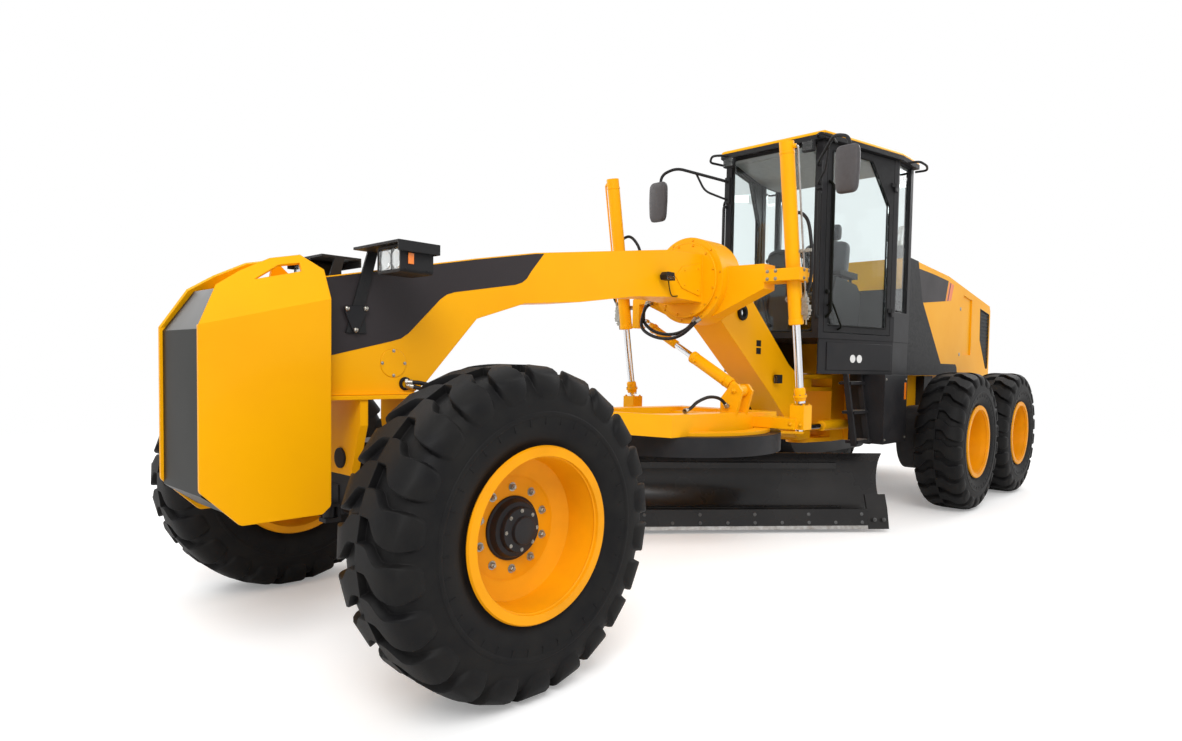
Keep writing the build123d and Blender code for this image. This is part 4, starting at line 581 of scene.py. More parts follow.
def make_front():
    band, bolts, steel, dark, black, yellow, lens, amber = kits = [Kit() for _ in range(8)]
    # everything down to the mirroring is the left side's
    band.prism(BAND, "y", 0.1603, 0.1612)
    # round hatch and the hose grommet
    yellow.turned([(0, 0), (0, 0.072), (0.0025, 0.07), (0.003, 0)], (3.74, BEAM_SIDE, 1.341), LEFT, 40)
    for across, up in around(4):
        bolts.bolt((3.74 + 0.061 * across, 0.1627, 1.341 + 0.061 * up), LEFT, 0.0055)
    black.turned([(0, 0.02), (0.0, 0.034), (0.01, 0.032), (0.012, 0.026), (0.008, 0.02)],
                 (3.675, BEAM_SIDE, 1.239), LEFT, 28)
    # headlamp's foot, lens with its reflector, side marker and screws
    dark.prism(LAMP_PLATE, "y", 0.1725, 0.1785)
    for x, z in ((3.99, 1.592), (3.896, 1.598), (3.947, 1.494)):
        bolts.turned([(0, 0), (0, 0.013), (0.006, 0.012), (0.011, 0.007), (0.012, 0)], (x, 0.1785, z),
                     LEFT, 16)
    for near, far in ((0.349, 0.4492), (0.4552, 0.521)):
        lens.prism([(near, 1.76), (far, 1.76), (far, 1.853), (near, 1.853)], "x", 3.9165, 3.9225)
        steel.turned([(0.0005, 0), (0.0005, 0.006), (0.0035, 0.03), (0.0045, 0.04), (0.0005, 0.0405)],
                     (3.9112, (near + far) / 2, 1.8065), FORWARD, 24)
        steel.block((3.9112, near + 0.004, 1.764), (3.9125, far - 0.004, 1.849))
    amber.prism([(3.862, 1.783), (3.89, 1.783), (3.89, 1.832), (3.862, 1.832)], "y", 0.5352, 0.5405)
    for x in (3.79, 3.9):
        for z in (1.76, 1.855):
            dark.turned([(0, 0), (0, 0.005), (0.003, 0.004), (0.003, 0)], (x, 0.535, z), LEFT, 10)
    # yellow cover plate beside the saddle
    yellow.prism([(1.2, 2.12), (1.23, 2.125), (1.425, 2.08), (1.505, 1.998), (1.43, 1.925),
                  (1.225, 1.885), (1.2, 1.892)], "y", 0.1602, 0.1665)
    for x, z in ((1.24, 2.085), (1.24, 1.925), (1.4, 2.055), (1.4, 1.95)):
        yellow.bolt((x, 0.1665, z), LEFT, 0.006)
    # work lamp on the beam
    dark.prism([(1.61, 1.955), (1.7, 1.955), (1.712, 1.985), (1.69, 2.01), (1.62, 2.01)], "y",
               0.185, 0.245)
    dark.block((1.64, BEAM_SIDE, 1.975), (1.665, 0.19, 1.995))
    lens.prism([(1.617, 1.962), (1.7, 1.962), (1.708, 1.98), (1.617, 1.985)], "y", 0.2455, 0.2495)
    black.pipe([(1.62, 0.19, 1.97), (1.6, 0.185, 1.9), (1.56, 0.175, 1.85), (1.48, 0.165, 1.862)],
               0.04, 0.004, 8)
    # spacer flange below the beam
    yellow.block((3.6, 0.1602, 1.186), (4.1, 0.172, 1.196))
    # blank plates and the lamp at the leg's foot
    for low_z in (1.535, 1.47):
        black.block((0.3, 0.1502, low_z), (0.372, 0.1518, low_z + 0.052))
    dark.block((0.02, 0.165, 1.222), (0.095, 0.205, 1.297))
    dark.block((0.045, 0.15, 1.247), (0.07, 0.168, 1.272))
    lens.block((0.0955, 0.17, 1.229), (0.0995, 0.2, 1.29))
    # hose reel on the leg's face
    reel = (0.61, 0.1502, 1.8)
    black.turned([(0, 0.036), (0, 0.06), (0.012, 0.064), (0.024, 0.06), (0.024, 0.036)], reel, LEFT, 32)
    steel.turned([(0, 0), (0, 0.035), (0.006, 0.033), (0.008, 0.012), (0.012, 0)], reel, LEFT, 24)
    # arm's clamp bolts
    for y in (0.668, 0.735):
        for z in (1.99, 2.044):
            bolts.bolt((1.083, y, z), FORWARD, 0.009)
    for x in (1.02, 0.95):
        for z in (1.988, 2.046):
            bolts.bolt((x, 0.925, z), LEFT, 0.009)
    for kit in kits:
        kit.mirror()
    # bolts round the saddle's two rings, and the welded lip of its cover ring
    for x, ring, count, offset, radius in ((1.1762, 0.268, 12, 0.5, 0.007), (1.1502, 0.308, 10, 0.25, 0.006)):
        for across, up in around(count, offset):
            yellow.bolt((x, ring * across, SADDLE_Z + ring * up), FORWARD, radius)
    yellow.turned([(0, 0.276), (0.006, 0.278), (0.008, 0.284), (0.006, 0.2875), (0, 0.289)],
                  (1.1705, 0, SADDLE_Z), FORWARD, 64)
    band.make("beam_band", "decal", "front", "charcoal_paint")
    yellow.make("beam_covers", "yellow", "front", "yellow_paint", 0.0012)
    bolts.make("front_bolts", "zinc", "front", "steel")
    dark.make("lamp_brackets", "charcoal", "front", "charcoal_paint", 0.0018)
    black.make("beam_grommets", "seal", "front", "black_plastic")
    steel.make("lamp_reflectors", "chrome", "front", "chrome_rod")
    lens.make("lamp_lenses", "lens", "front", "lamp_plastic", 0.001)
    amber.make("side_markers", "amber", "front", "lamp_plastic", 0.0015)
    for name, side in SIDES:
        for level, drop in (("high", 0), ("low", 0.028)):
            hose(f"beam_hose_{name}_{level}",
                 [(3.675 - drop * 0.3, 0.163, 1.246 - drop * 0.5), (3.615, 0.205, 1.243 - drop),
                  (3.535, 0.232, 1.215 - drop), (3.488, 0.215, 1.155 - drop), (3.51, 0.16, 1.105 - drop),
                  (3.562, 0.12, 1.085 - drop)], 0.011, "front", side)
    for level, drop in (("high", 0), ("low", 0.034)):
        hose(f"saddle_hose_{level}",
             [(1.106, -0.43 + drop, 1.87), (1.16 + drop, -0.425 + drop, 1.8),
              (1.205 + drop, -0.38, 1.7 - drop), (1.218 + drop, -0.26, 1.625 - drop),
              (1.218 + drop, -0.1, 1.6 - drop), (1.212 + drop, 0.04, 1.635 - drop),
              (1.19, 0.125 + drop, 1.722)], 0.013, "front")


# ---------------------------------------------------------------- cylinders
TRUNNION = Vector((0.985, 0.825, 2.017))
LIFT_BALL = Vector((0.825, 0.825, 1.054))
SHIFT_PIN = Vector((1.065, 0.45, 1.18))
SHIFT_BALL = Vector((1.05, -0.49, 1.705))


def make_lift_cylinders():
    way = (TRUNNION - LIFT_BALL).normalized()

    def at(share):
        return between(LIFT_BALL, TRUNNION, share)

    gland, steel, pipe, bracket, eye, eye_bolts = (Kit() for _ in range(6))
    gland.turned([(0.0, 0.0315), (0.0, 0.05), (0.004, 0.0545), (0.04, 0.0545), (0.044, 0.0525),
                  (0.002, 0.0315)], at(0.64) + way * 0.001, way, 40)
    gland.turned([(0, 0.0515), (0.002, 0.0545), (0.016, 0.0545), (0.018, 0.0515)], at(1.94) - way * 0.085,
                 way, 40)
    # port blocks at the barrel's top and above its mouth, and the pipe between them
    for share in (1.9, 0.74):
        gland.rod(at(share) + LEFT * 0.048, at(share) + LEFT * 0.074, 0.016, 16)
    base = at(0.76)
    pipe.pipe([at(1.9) + LEFT * 0.06, at(1.9) + LEFT * 0.086, base + LEFT * 0.086 + way * 0.02],
              0.02, 0.007, 10)
    # valve block with its fittings
    for low, high, near, far, wide in ((-0.05, 0.02, 0.056, 0.108, 0.022), (0.02, 0.075, 0.06, 0.098, 0.017),
                                       (-0.085, -0.05, 0.064, 0.094, 0.013)):
        corner = base + way * low
        steel.block(corner + Vector((-wide, near, 0)), corner + Vector((wide, far, high - low)))
    for up, outward, radius in ((-0.02, 0.108, 0.01), (0.045, 0.098, 0.008), (-0.065, 0.094, 0.007)):
        steel.bolt(base + way * up + LEFT * outward, LEFT, radius, 0.014)
    steel.rod(base + way * 0.07 + LEFT * 0.082, base + way * 0.12 + LEFT * 0.09, 0.011, 12)
    steel.rod(base - way * 0.12 + LEFT * 0.078, base - way * 0.08 + LEFT * 0.078, 0.006, 10)
    # bar that holds the pipe and the hose
    across = at(1.17)
    bracket.block(across + Vector((-0.004, 0.05, -0.011)), across + Vector((0.004, 0.15, 0.011)))
    for outward in (0.086, 0.126):
        bracket.rod(across + Vector((-0.012, outward, 0)), across + Vector((0.012, outward, 0)), 0.014, 16)
    # yellow eye at the rod's foot, clamped with bolts
    eye.turned([(0, 0.0295), (0, 0.039), (0.004, 0.0415), (0.082, 0.0415), (0.092, 0.037), (0.1, 0.0295)],
               at(0.066), way, 32)
    eye.turned([(0, 0.04), (0.003, 0.05), (0.02, 0.05), (0.023, 0.04)], at(0.09), way, 32)
    for cos, sin in around(6):
        eye_bolts.bolt(at(0.114) + (LEFT * cos + way.cross(LEFT) * sin) * 0.0455, way, 0.0042)
    for name, side in SIDES:
        body, rod = f"lift_barrel_{name}", f"lift_rod_{name}"
        gland.make(f"lift_gland_{name}", "yellow", body, "yellow_paint", 0.0008, side=side)
        pipe.make(f"lift_pipe_{name}", "yellow" if side < 0 else "steel", body, "steel", side=side)
        steel.make(f"lift_valve_{name}", "zinc", body, "steel", side=side)
        bracket.make(f"hose_clip_{name}", "zinc", body, "steel", 0.001, side=side)
        hose(f"lift_hose_{name}",
             [(0.948, 0.766, 1.85), (0.905, 0.735, 1.862), (0.868, 0.712, 1.915), (0.856, 0.702, 2.01),
              (0.86, 0.7, 2.12), (0.872, 0.704, 2.24), (0.898, 0.734, 2.388), (0.93, 0.815, 2.47),
              (0.965, 0.912, 2.4), (0.985, 0.957, 2.23), (0.982, 0.962, 2.06), (0.966, 0.943, 1.95),
              (0.956, 0.908, 1.878), (0.953, 0.892, 1.838)], 0.0125, body, side)
        eye.make(f"rod_eye_{name}", "yellow", rod, "yellow_paint", 0.0008, side=side)
        eye_bolts.make(f"rod_eye_bolts_{name}", "zinc", rod, "steel", side=side)


def make_shift_cylinder():
    way = (SHIFT_BALL - SHIFT_PIN).normalized()

    def at(share):
        return between(SHIFT_PIN, SHIFT_BALL, share)

    sleeve, gland = Kit(), Kit()
    sleeve.turned([(0, 0.0255), (0, 0.031), (0.004, 0.0335), (0.318, 0.0335), (0.324, 0.03), (0.324, 0.0255)],
                  at(0.655), way, 32)
    sleeve.turned([(0, 0.033), (0.003, 0.041), (0.022, 0.041), (0.026, 0.033)], at(0.9), way, 32)
    sleeve.make("shift_sleeve", "yellow", "shift_rod", "yellow_paint", 0.0008)
    gland.turned([(0.0, 0.0265), (0.0, 0.046), (0.004, 0.0485), (0.034, 0.0485), (0.038, 0.0445),
                  (0.04, 0.0265)], at(0.446), way, 40)
    gland.turned([(0, 0.0455), (0.002, 0.0482), (0.014, 0.0482), (0.016, 0.0455)], at(0.13), way, 40)
    for share in (0.14, 0.42):
        gland.rod(at(share) + FORWARD * 0.04, at(share) + FORWARD * 0.066, 0.013, 14)
    gland.make("shift_gland", "yellow", "shift_barrel", "yellow_paint", 0.0008)


# ---------------------------------------------------------------- drawbar, circle, blade
CIRCLE = Vector((1.21, 0, 0))
BLADE_TURN = math.radians(48)
AHEAD = Vector((math.cos(BLADE_TURN), math.sin(BLADE_TURN), 0))
LEFTWARD = Vector((-math.sin(BLADE_TURN), math.cos(BLADE_TURN), 0))
EDGE = -0.207


def on_circle(x, y, z):
    return CIRCLE + AHEAD * x + LEFTWARD * y + Vector((0, 0, z))

def make_blade_parts():
    bolts, wear = Kit(), Kit()
    lean = Vector((-0.042, 0, 0.16)).normalized()
    face = AHEAD * lean.z - UP * lean.x
    for count, height in ((15, 0.085), (8, 0.15)):
        x = EDGE - 0.042 * (height - 0.03) / 0.16
        for number in range(count):
            y = -1.6 + 3.2 * number / (count - 1)
            bolts.turned([(0, 0), (0, 0.015), (0.002, 0.014), (0.0035, 0.009), (0.0035, 0)],
                         on_circle(x, y, height) + face * 0.0015, face, 16)
    for end in (1, -1):
        for y in (1.7, 1.78):
            for z, back in ((0.26, 0.092), (0.11, -0.008)):
                bolts.bolt(on_circle(EDGE - back, end * y, z), face, 0.011)
    bolts.make("blade_bolts", "cast", "blade", "steel")
    # bright worn lip of the cutting edge
    lip = ((EDGE + 0.0008, 0.0302), (EDGE - 0.0085, 0.062), (EDGE - 0.01, 0.062), (EDGE - 0.004, 0.0302))
    wear.skin([on_circle(x, y, z) for x, z in lip] for y in (-1.648, 1.648))
    wear.make("cutting_lip", "steel", "blade", "steel")
    # clamps with bolts round the circle's bearing plate, on the drawbar
    plates, studs = Kit(), Kit()
    plate_z = 0.9022
    lift = UP * 0.022
    for degrees in (35, 145, 215, 325):
        turn = math.radians(degrees)
        out = Vector((math.cos(turn), math.sin(turn), 0))
        along = Vector((-out.y, out.x, 0))
        centre = CIRCLE + out * 0.625 + UP * plate_z
        corners = [centre + out * a + along * b
                   for a, b in ((-0.045, -0.09), (0.06, -0.09), (0.06, 0.09), (-0.045, 0.09))]
        plates.skin((corners, [corner + lift for corner in corners]))
        for a in (-0.02, 0.035):
            for b in (-0.06, 0.0, 0.06):
                studs.bolt(centre + out * a + along * b + lift, UP, 0.009)
    for _, side in SIDES:
        for y in (0.785, 0.865):
            studs.bolt((0.905, side * y, 0.945), FORWARD, 0.011)
        for y in (0.78, 0.87):
            for x in (0.865, 0.785):
                studs.bolt((x, side * y, 1.0842), UP, 0.01)
    # the circle's drive and the shift cylinder's pin
    drive_x, drive_y = 1.7, -0.3
    plates.turned([(0, 0), (0, 0.11), (0.004, 0.114), (0.03, 0.114), (0.04, 0.1), (0.044, 0.055),
                   (0.06, 0.05), (0.062, 0)], (drive_x, drive_y, plate_z), UP, 40)
    for cos, sin in around(8):
        studs.bolt((drive_x + 0.085 * cos, drive_y + 0.085 * sin, 0.9395), UP, 0.008)
    for x, way in ((0.9845, -1), (1.1455, 1)):
        studs.bolt((x, SHIFT_PIN.y, SHIFT_PIN.z), FORWARD * way, 0.017)
    plates.make("circle_clamps", "yellow", "drawbar", "yellow_paint", 0.002)
    studs.make("drawbar_bolts", "yellow", "drawbar", "yellow_paint")
    hose("drawbar_hose", [(1.16, 0.405, 1.06), (1.24, 0.392, 1.12), (1.36, 0.382, 1.135),
                          (1.5, 0.384, 1.105), (1.6, 0.396, 1.062), (1.68, 0.405, 1.045)], 0.012, "drawbar")


# ---------------------------------------------------------------- cab
DOOR_FRONT = Vector((-0.06, 0.49, 0))
DOOR_RUN = Vector((-1.01, 0.25, 0)).normalized()
DOOR_OUT = Vector((0.25, 1.01, 0)).normalized()
ROOF = [(-0.02, 0.53), (-1.07, 0.78), (-1.47, 0.78)]
# the locker's panel below the door: start, direction and outward normal
LOCKER_START = Vector((-0.09, 0.482, 0))
LOCKER_RUN = Vector((-0.98, 0.253, 0)).normalized()
LOCKER_OUT = Vector((0.253, 0.98, 0)).normalized()


def on_door(run, outward, z):
    return DOOR_FRONT + DOOR_RUN * run + DOOR_OUT * outward + UP * z


def roof_outline(inset):
    half = [(x - (inset if x > -0.5 else 0) + (inset if x < -1.2 else 0), y - inset) for x, y in ROOF]
    return half + [(x, -y) for x, y in reversed(half)]


def make_roof():
    fascia, cap, lining = Kit(), Kit(), Kit()
    cap.skin([(x, y, z) for x, y in roof_outline(inset)] for inset, z in (
        (0.004, 3.3345), (0.004, 3.346), (0.012, 3.358), (0.034, 3.369), (0.075, 3.3748)))
    cap.make("roof_cap", "yellow", "rear", "yellow_paint", 0.003, ("cab_roof",))
    fascia.prism(roof_outline(0.0), "z", 3.2902, 3.334)
    fascia.prism(roof_outline(0.05), "z", 3.28, 3.2905)
    fascia.make("roof_fascia", "plastic", "rear", "black_plastic", 0.003, ("cab_roof",))
    lining.block((-0.2, 0.02, 3.256), (-0.62, 0.3, 3.2682))
    lining.turned([(0, 0), (0, 0.045), (0.008, 0.042), (0.012, 0.02), (0.012, 0)], (-0.85, 0.25, 3.2682),
                  -UP, 24)
    lining.mirror()
    lining.prism(roof_outline(0.075), "z", 3.268, 3.2798)
    lining.make("cab_lining", "lining", "rear", "black_plastic", 0.006)


def make_lockers():
    """The locker panels' lids, each with two blank discs."""
    lid, signs = Kit(), Kit()
    corners = [LOCKER_START + LOCKER_RUN * run + UP * z
               for run, z in ((0.1, 1.345), (0.985, 1.345), (0.985, 1.59), (0.1, 1.59))]
    lid.skin([corner + LOCKER_OUT * lift for corner in corners] for lift in (0.0004, 0.008))
    for run in (0.44, 0.53):
        signs.turned([(0, 0), (0, 0.036), (0.0012, 0.036), (0.0012, 0)],
                     LOCKER_START + LOCKER_RUN * run + LOCKER_OUT * 0.0082 + UP * 1.45, LOCKER_OUT, 32)
    for name, side in SIDES:
        lid.make(f"locker_lid_{name}", "charcoal", "rear", "charcoal_paint", 0.004, side=side)
        signs.make(f"blank_signs_{name}", "white", "rear", "lamp_plastic", side=side)


def make_cab_outside():
    rails, lamps, lens, seals = kits = [Kit() for _ in range(4)]
    # tubular guards at the roof's corners, each with its lamp
    rails.pipe([(-0.1, 0.44, 3.3), (0.02, 0.47, 3.31), (0.1, 0.545, 3.3), (0.035, 0.615, 3.265),
                (-0.12, 0.575, 3.265)], 0.04, 0.011)
    rails.pipe([(-1.2, 0.74, 3.3), (-1.23, 0.87, 3.3), (-1.36, 0.89, 3.285), (-1.45, 0.86, 3.265),
                (-1.44, 0.75, 3.265)], 0.04, 0.011)
    for x, y, way in ((0.005, 0.4, 1), (-1.44, 0.6, -1)):
        lamps.block((x, y - 0.055, 3.185), (x + way * 0.045, y + 0.055, 3.275))
        lamps.block((x - way * 0.04, y - 0.012, 3.225), (x, y + 0.012, 3.25))
        lens.block((x + way * 0.0455, y - 0.045, 3.195), (x + way * 0.0495, y + 0.045, 3.265))
    # tall rail on the front pillar's outside
    for z in (1.8, 2.85):
        rails.rod((-0.075, 0.475, z), (-0.03, 0.482, z), 0.012, 12)
    rails.pipe([(-0.075, 0.475, 1.8), (-0.02, 0.485, 1.8), (-0.02, 0.485, 2.85), (-0.075, 0.475, 2.85)],
               0.03, 0.013, 12)
    # seal round the quarter window
    seals.pipe([(x, 0.7195, z) for x, z in ((-1.36, 1.915), (-1.1, 1.915), (-1.1, 3.275), (-1.36, 3.275),
                                            (-1.36, 1.93))], 0.03, 0.007, 8)
    for kit in kits:
        kit.mirror()
    # windscreen's seal, wiper and its arm
    seals.pipe([(-0.08, y, z) for y, z in ((-0.42, 1.685), (0.42, 1.685), (0.42, 3.275), (-0.42, 3.275),
                                            (-0.42, 1.7))], 0.04, 0.008, 8)
    rails.rod((-0.084, 0.0, 1.735), (-0.055, 0.0, 1.735), 0.018, 16)
    rails.pipe([(-0.064, 0.0, 1.735), (-0.058, -0.02, 1.8), (-0.064, -0.16, 2.35)], 0.03, 0.006, 8)
    rails.tube([(-0.074, -0.155, 1.98), (-0.072, -0.16, 2.35), (-0.074, -0.165, 2.7)], 0.007, 6)
    rails.make("cab_rails", "plastic", "rear", "black_plastic")
    lamps.make("cab_lamps", "plastic", "rear", "black_plastic", 0.006)
    lens.make("cab_lamp_lenses", "lens", "rear", "lamp_plastic", 0.002)
    seals.make("cab_seals", "seal", "rear", "black_plastic")


def make_door_trim():
    """Seal round the glass, tall grab rail, pull handle and latch of each door."""
    trim, handle = Kit(), Kit()
    first, last, low, high = 0.126, 0.915, 1.736, 3.224
    trim.pipe([on_door(run, 0.001, z) for run, z in (
        (first, low), (last, low), (last, high - 0.365), (last - 0.26, high), (first, high),
        (first, low + 0.02))], 0.03, 0.0075, 8)
    handle.pipe([on_door(0.092, -0.004, 1.8), on_door(0.092, 0.05, 1.84), on_door(0.092, 0.05, 2.92),
                 on_door(0.092, -0.004, 2.96)], 0.03, 0.012, 12)
    handle.pipe([on_door(0.105, -0.002, 1.9), on_door(0.12, 0.04, 1.93), on_door(0.25, 0.042, 1.72),
                 on_door(0.25, -0.002, 1.7)], 0.03, 0.009)
    handle.turned([(0, 0), (0, 0.022), (0.012, 0.02), (0.016, 0.012), (0.016, 0)],
                  on_door(0.095, 0.0005, 2.02), DOOR_OUT, 20)
    for name, side in SIDES:
        trim.make(f"door_seal_{name}", "seal", f"door_{name}", "black_plastic", side=side)
        handle.make(f"door_rail_{name}", "gloss_black", f"door_{name}", "black_gloss", side=side)


def make_cab_inside():
    """Consoles with their armrests and lever banks, the dash and the floor mat."""
    inside, knobs, mat = Kit(), Kit(), Kit()
    arm_y = 0.345
    inside.prism([(-1.05, 1.672), (-0.52, 1.672), (-0.5, 2.05), (-0.56, 2.2), (-0.98, 2.16), (-1.05, 2.1)],
                 "y", 0.29, 0.4)
    inside.prism([(-1.02, 2.215), (-0.66, 2.225), (-0.64, 2.255), (-0.66, 2.275), (-1.02, 2.27)], "y",
                 arm_y - 0.045, arm_y + 0.045)
    for x in (-0.96, -0.76):
        inside.rod((x, arm_y, 2.15), (x, arm_y, 2.22), 0.014, 12)
    for number in range(5):
        x, y = -0.43 - 0.012 * number, 0.14 + 0.026 * number
        top = Vector((x + 0.055, y, 2.4 - 0.01 * number))
        inside.rod((x - 0.01, y, 2.1), top, 0.0045, 8)
        knobs.turned([(0, 0), (0.002, 0.01), (0.012, 0.0145), (0.026, 0.0145), (0.034, 0.008), (0.036, 0)],
                     top - UP * 0.006, (0.2, 0, 1), 16)
    inside.prism([(-0.5, 2.06), (-0.36, 2.1), (-0.36, 2.13), (-0.5, 2.11)], "y", 0.12, 0.27)
    inside.mirror()
    knobs.mirror()
    inside.prism([(-0.335, 2.28), (-0.25, 2.28), (-0.262, 2.4), (-0.3, 2.43), (-0.345, 2.36)], "y",
                 -0.13, 0.13)
    inside.make("cab_consoles", "plastic", "rear", "black_plastic", 0.012)
    knobs.make("lever_knobs", "gloss_black", "rear", "black_gloss")
    mat.prism([(-0.12, 0.4), (-1.05, 0.62), (-1.38, 0.62), (-1.38, -0.62), (-1.05, -0.62), (-0.12, -0.4)],
              "z", 1.6705, 1.68)
    mat.make("cab_mat", "rubber", "rear", "black_plastic", 0.003)


def cushion(name, outline, low, high, crown, channels):
    """A padded seat part: a rounded outline in x and z, crowned across y, with sewn channels along it."""
    count, columns = 40, 30
    middle = [sum(values) / len(outline) for values in zip(*outline)]
    kit, rings = Kit(), []
    for column in range(columns + 1):
        across = column / columns
        pull = (4 * across * (1 - across)) ** 0.35
        seam = sum(math.exp(-((across - place) / 0.018) ** 2) for place in channels)
        scale = 0.8 + 0.2 * pull + crown * math.sin(math.pi * across) - 0.05 * seam
        ring = []
        for step in range(count):
            share = step / count * len(outline)
            index = int(share)
            corners = [outline[(index + shift) % len(outline)] for shift in (-1, 0, 1, 2)]
            x, z = (centre + (catmull(*values, share - index) - centre) * scale
                    for centre, values in zip(middle, zip(*corners)))
            ring.append((x, low + (high - low) * across, z))
        rings.append(ring)
    kit.skin(rings, True)
    made = make_piece(name, kit.mesh(name, "cloth", sharp=180), "rear", modifier="SUBSURF",
                      settings={"levels": 1, "render_levels": 1})
    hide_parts("seat")


def make_seat():
    cushion("seat_cushion", [(-1.13, 1.985), (-0.9, 1.97), (-0.68, 1.975), (-0.645, 2.03), (-0.7, 2.085),
                             (-0.9, 2.075), (-1.1, 2.085), (-1.15, 2.04)], -0.25, 0.25, 0.04, (0.22, 0.78))
    cushion("seat_back", [(-1.15, 2.09), (-1.03, 2.1), (-1.035, 2.2), (-1.06, 2.4), (-1.1, 2.6),
                          (-1.16, 2.625), (-1.21, 2.58), (-1.175, 2.3)], -0.23, 0.23, 0.04, (0.22, 0.78))
    cushion("seat_headrest", [(-1.2, 2.65), (-1.13, 2.645), (-1.11, 2.7), (-1.125, 2.78), (-1.17, 2.8),
                              (-1.21, 2.76)], -0.13, 0.13, 0.03, ())
    base = Kit()
    base.prism([(-1.13, 1.671), (-0.8, 1.671), (-0.78, 1.7), (-0.86, 1.74), (-0.86, 1.93), (-0.74, 1.975),
                (-1.14, 1.975), (-1.08, 1.93), (-1.08, 1.74), (-1.13, 1.7)], "y", -0.2, 0.2)
    for y in (-0.07, 0.07):
        base.rod((-1.155, y, 2.58), (-1.165, y, 2.68), 0.008, 10)
    for number in range(7):
        z = 1.755 + number * 0.024
        base.prism([(-1.1, z), (-0.84, z), (-0.835, z + 0.008), (-0.84, z + 0.016), (-1.1, z + 0.016)], "y",
                   -0.215, 0.215)
    base.make("seat_base", "plastic", "rear", "black_plastic", 0.006, ("seat",))


# mirror head: middle, half width and half height of its face, and its sections (depth, width, height)
MIRROR_FACE = (0.377, 0.93, 2.875)
MIRROR_WIDE, MIRROR_TALL = 0.098, 0.183
MIRROR_SHAPE = ((0.0, 0.94, 0.962), (0.2, 0.985, 0.99), (0.55, 1.0, 1.0), (0.85, 0.9, 0.93),
                (1.0, 0.62, 0.74))


def make_mirrors():
    arms, faces, head = Kit(), Kit(), Kit()
    root, elbow, tip = Vector((-0.055, 0.466, 3.08)), Vector((0.33, 0.78, 3.18)), Vector((0.37, 0.93, 3.13))
    arms.pipe([root, root + FORWARD * 0.05, elbow, tip, tip - UP * 0.24], 0.07, 0.0135, 12, 8)
    arms.pipe([root - UP * 0.16, root + Vector((0.05, 0.01, -0.16)), between(root, elbow, 0.45) - UP * 0.14,
               between(root, elbow, 0.62)], 0.06, 0.01, 10, 8)
    arms.block((-0.062, 0.44, 2.88), (-0.04, 0.492, 3.12))
    arms.block((0.352, 0.905, 2.9), (0.392, 0.955, 2.965))
    # rounded head: deeper in the middle, narrower at the foot
    face_x, face_y, face_z = MIRROR_FACE
    rings = []
    for depth, wide, tall in MIRROR_SHAPE:
        ring = []
        for cos, sin in around(40):
            across = math.copysign(abs(cos) ** 0.38, cos) * MIRROR_WIDE * wide
            up = math.copysign(abs(sin) ** 0.3, sin) * MIRROR_TALL * tall
            narrow = 1 - 0.1 * max(0.0, -up / MIRROR_TALL)
            ring.append((face_x + depth * 0.058, face_y + across * narrow, face_z + up))
        rings.append(ring)
    head.skin(rings, True)
    for name, side in SIDES:
        head.make(f"mirror_head_{name}", "housing", "rear", "mirror_housing", 0, ("mirrors",), side)
    faces.skin([(face_x - lift, face_y + (y - face_y) * 0.92, face_z + (z - face_z) * 0.94)
                for _, y, z in rings[0]] for lift in (0, 0.0012))
    arms.mirror()
    faces.mirror()
    arms.make("mirror_arms", "plastic", "rear", "black_plastic", 0, ("mirrors",))
    faces.make("mirror_faces", "mirror", "rear", "chrome_rod")


# ---------------------------------------------------------------- hood and rear
HOOD_BAND = [(-2.045, 2.425), (-2.185, 2.078), (-2.9, 2.15), (-2.985, 2.385), (-2.5, 2.412)]
STRIPES = [[(-2.925, 2.1525), (-2.965, 2.1565), (-3.05, 2.372), (-3.01, 2.381)],
           [(-2.99, 2.159), (-3.09, 2.17), (-3.175, 2.356), (-3.075, 2.369)]]
STRIPE_GAP = [(-2.965, 2.1565), (-2.99, 2.159), (-3.075, 2.369), (-3.05, 2.372)]
SILL = [(-2.77, 1.44), (-3.29, 1.44), (-3.335, 1.405), (-3.365, 1.303), (-2.805, 1.303)]
CORNER = [(-4.203, 2.155), (-4.225, 1.762), (-4.502, 1.405), (-4.588, 1.405), (-4.588, 2.106)]
HOOD_SIDE = 0.5902


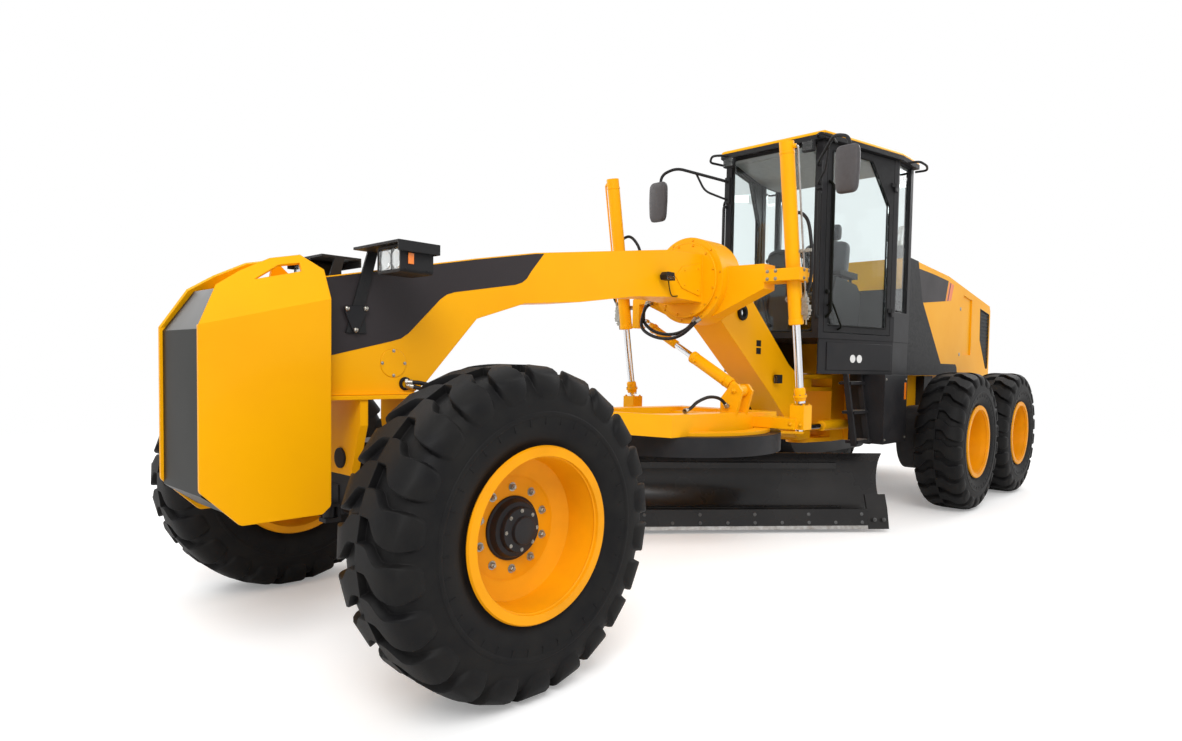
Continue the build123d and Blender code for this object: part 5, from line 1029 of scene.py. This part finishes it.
def make_hood():
    band, stripes, sill, grilles, latches, red, amber = kits = [Kit() for _ in range(7)]
    # everything down to the mirroring is the left side's
    for outline in (HOOD_BAND, STRIPE_GAP):
        band.prism(outline, "y", HOOD_SIDE, 0.5911)
    for outline in STRIPES:
        stripes.prism(outline, "y", HOOD_SIDE, 0.5912)
    sill.prism(SILL, "y", HOOD_SIDE, 0.602)
    sill.pipe([(-1.995, 0.598, 2.48), (-2.148, 0.598, 2.085), (-2.79, 0.598, 1.415), (-2.805, 0.598, 1.32)],
              0.05, 0.007, 8)
    grilles.prism(CORNER, "y", 0.5722, 0.576)
    corner_z = CORNER[1][1]
    for number in range(15):
        z = 1.44 + number * 0.046
        front = -4.235 - max(corner_z - z, 0) * 0.775
        grilles.prism([(front, z), (-4.578, z), (-4.578, z + 0.012), (front, z + 0.02)], "y", 0.5762, 0.5835)
    grilles.pipe([(x, 0.586, z) for x, z in CORNER + [CORNER[0]]], 0.02, 0.006, 8)
    # side panel's latches
    for z in (1.56, 2.1):
        latches.turned([(0, 0), (0, 0.022), (0.003, 0.021), (0.006, 0.012), (0.006, 0)], (-3.44, 0.59, z),
                       LEFT, 24)
    red.block((-4.652, 0.47, 1.33), (-4.64, 0.56, 1.43))
    amber.block((-4.652, 0.47, 1.45), (-4.64, 0.56, 1.51))
    # amber blank plate by the ladder
    amber.block((-1.27, 0.8002, 1.08), (-1.22, 0.8014, 1.24))
    # bolts on the side boxes and the bumper
    for x in (-1.26, -0.79):
        for z in (0.72, 1.27):
            latches.bolt((x, 0.8002, z), LEFT, 0.008)
    for y in (0.25, 0.5):
        for z in (1.05, 1.22):
            latches.bolt((-4.6502, y, z), -FORWARD, 0.012)
    for kit in kits:
        kit.mirror()
    # air intake and filler caps on the hood's top
    top = Kit()
    slope = 0.06 / 1.1
    for number in range(12):
        x = -2.1 - number * 0.055
        z = 2.5 - (abs(x) - 1.9) * slope
        top.prism([(x, z - 0.004), (x + 0.03, z - 0.004 + 0.03 * slope), (x + 0.026, z + 0.01),
                   (x + 0.006, z + 0.01)], "y", -0.26, 0.26)
    top.pipe([(-2.06, -0.29, 2.493), (-2.06, 0.29, 2.493), (-2.74, 0.29, 2.456), (-2.74, -0.29, 2.456),
              (-2.06, -0.275, 2.493)], 0.05, 0.008, 8)
    for y in (0.28, -0.28):
        top.turned([(-0.01, 0), (-0.01, 0.06), (0.012, 0.06), (0.018, 0.054), (0.024, 0.03), (0.024, 0)],
                   (-3.7, y, 2.44 - 0.7 * 0.225 / 1.6), (-0.14, 0, 1), 28)
    top.make("hood_vents", "plastic", "rear", "black_plastic", 0.002)
    band.make("hood_band", "decal", "rear", "charcoal_paint")
    stripes.make("hood_stripes", "orange", "rear", "yellow_paint")
    sill.make("hood_sill", "plastic", "rear", "black_plastic", 0.002)
    grilles.make("corner_grilles", "plastic", "rear", "black_plastic")
    latches.make("rear_fittings", "zinc", "rear", "steel")
    red.make("tail_lamps", "red", "rear", "lamp_plastic", 0.004)
    amber.make("turn_lamps", "amber", "rear", "lamp_plastic", 0.001)


def make_exhaust():
    """The perforated heat shield round the exhaust, and its two clamps."""
    shield, clamp = Kit(), Kit()
    exhaust_x, inner_r = -3.05, 0.0755
    for level in range(8):
        centre = Vector((exhaust_x, 0, 2.5 + level * 0.045))
        for cos, sin in around(16, 0.5 * (level % 2)):
            spoke = Vector((cos, sin, 0))
            shield.rod(centre + spoke * 0.0765, centre + spoke * 0.0795, 0.009, 8, lip=0.0006)
    shield.turned([(0, inner_r), (0, 0.0785), (0.4, 0.0785), (0.4, inner_r)], (exhaust_x, 0, 2.46), UP, 48)
    shield.make("exhaust_shield", "cast", "rear", "steel")
    for z in (2.47, 2.845):
        clamp.turned([(0, inner_r), (0, 0.0815), (0.014, 0.0815), (0.014, inner_r)], (exhaust_x, 0, z),
                     UP, 48)
        clamp.bolt((exhaust_x, 0.081, z + 0.007), LEFT, 0.006)
    clamp.make("exhaust_clamps", "zinc", "rear", "steel")


def make_ladder_treads():
    treads = Kit()
    for level in (0.7, 0.96, 1.22):
        y = 0.65 - (level - 0.68) * 0.09 / 0.59
        for number in range(9):
            x = -0.69 + number * 0.03
            treads.block((x - 0.004, y - 0.045, level + 0.0252), (x + 0.004, y + 0.045, level + 0.0292))
    treads.mirror()
    treads.make("ladder_treads", "steel", "rear", "steel", 0.001)


make_camera()
make_stage()
finish_nodes()
make_front()
make_lift_cylinders()
make_shift_cylinder()
make_blade_parts()
make_wheels()
make_roof()
make_lockers()
make_cab_outside()
make_door_trim()
make_cab_inside()
make_seat()
make_mirrors()
make_hood()
make_exhaust()
make_ladder_treads()
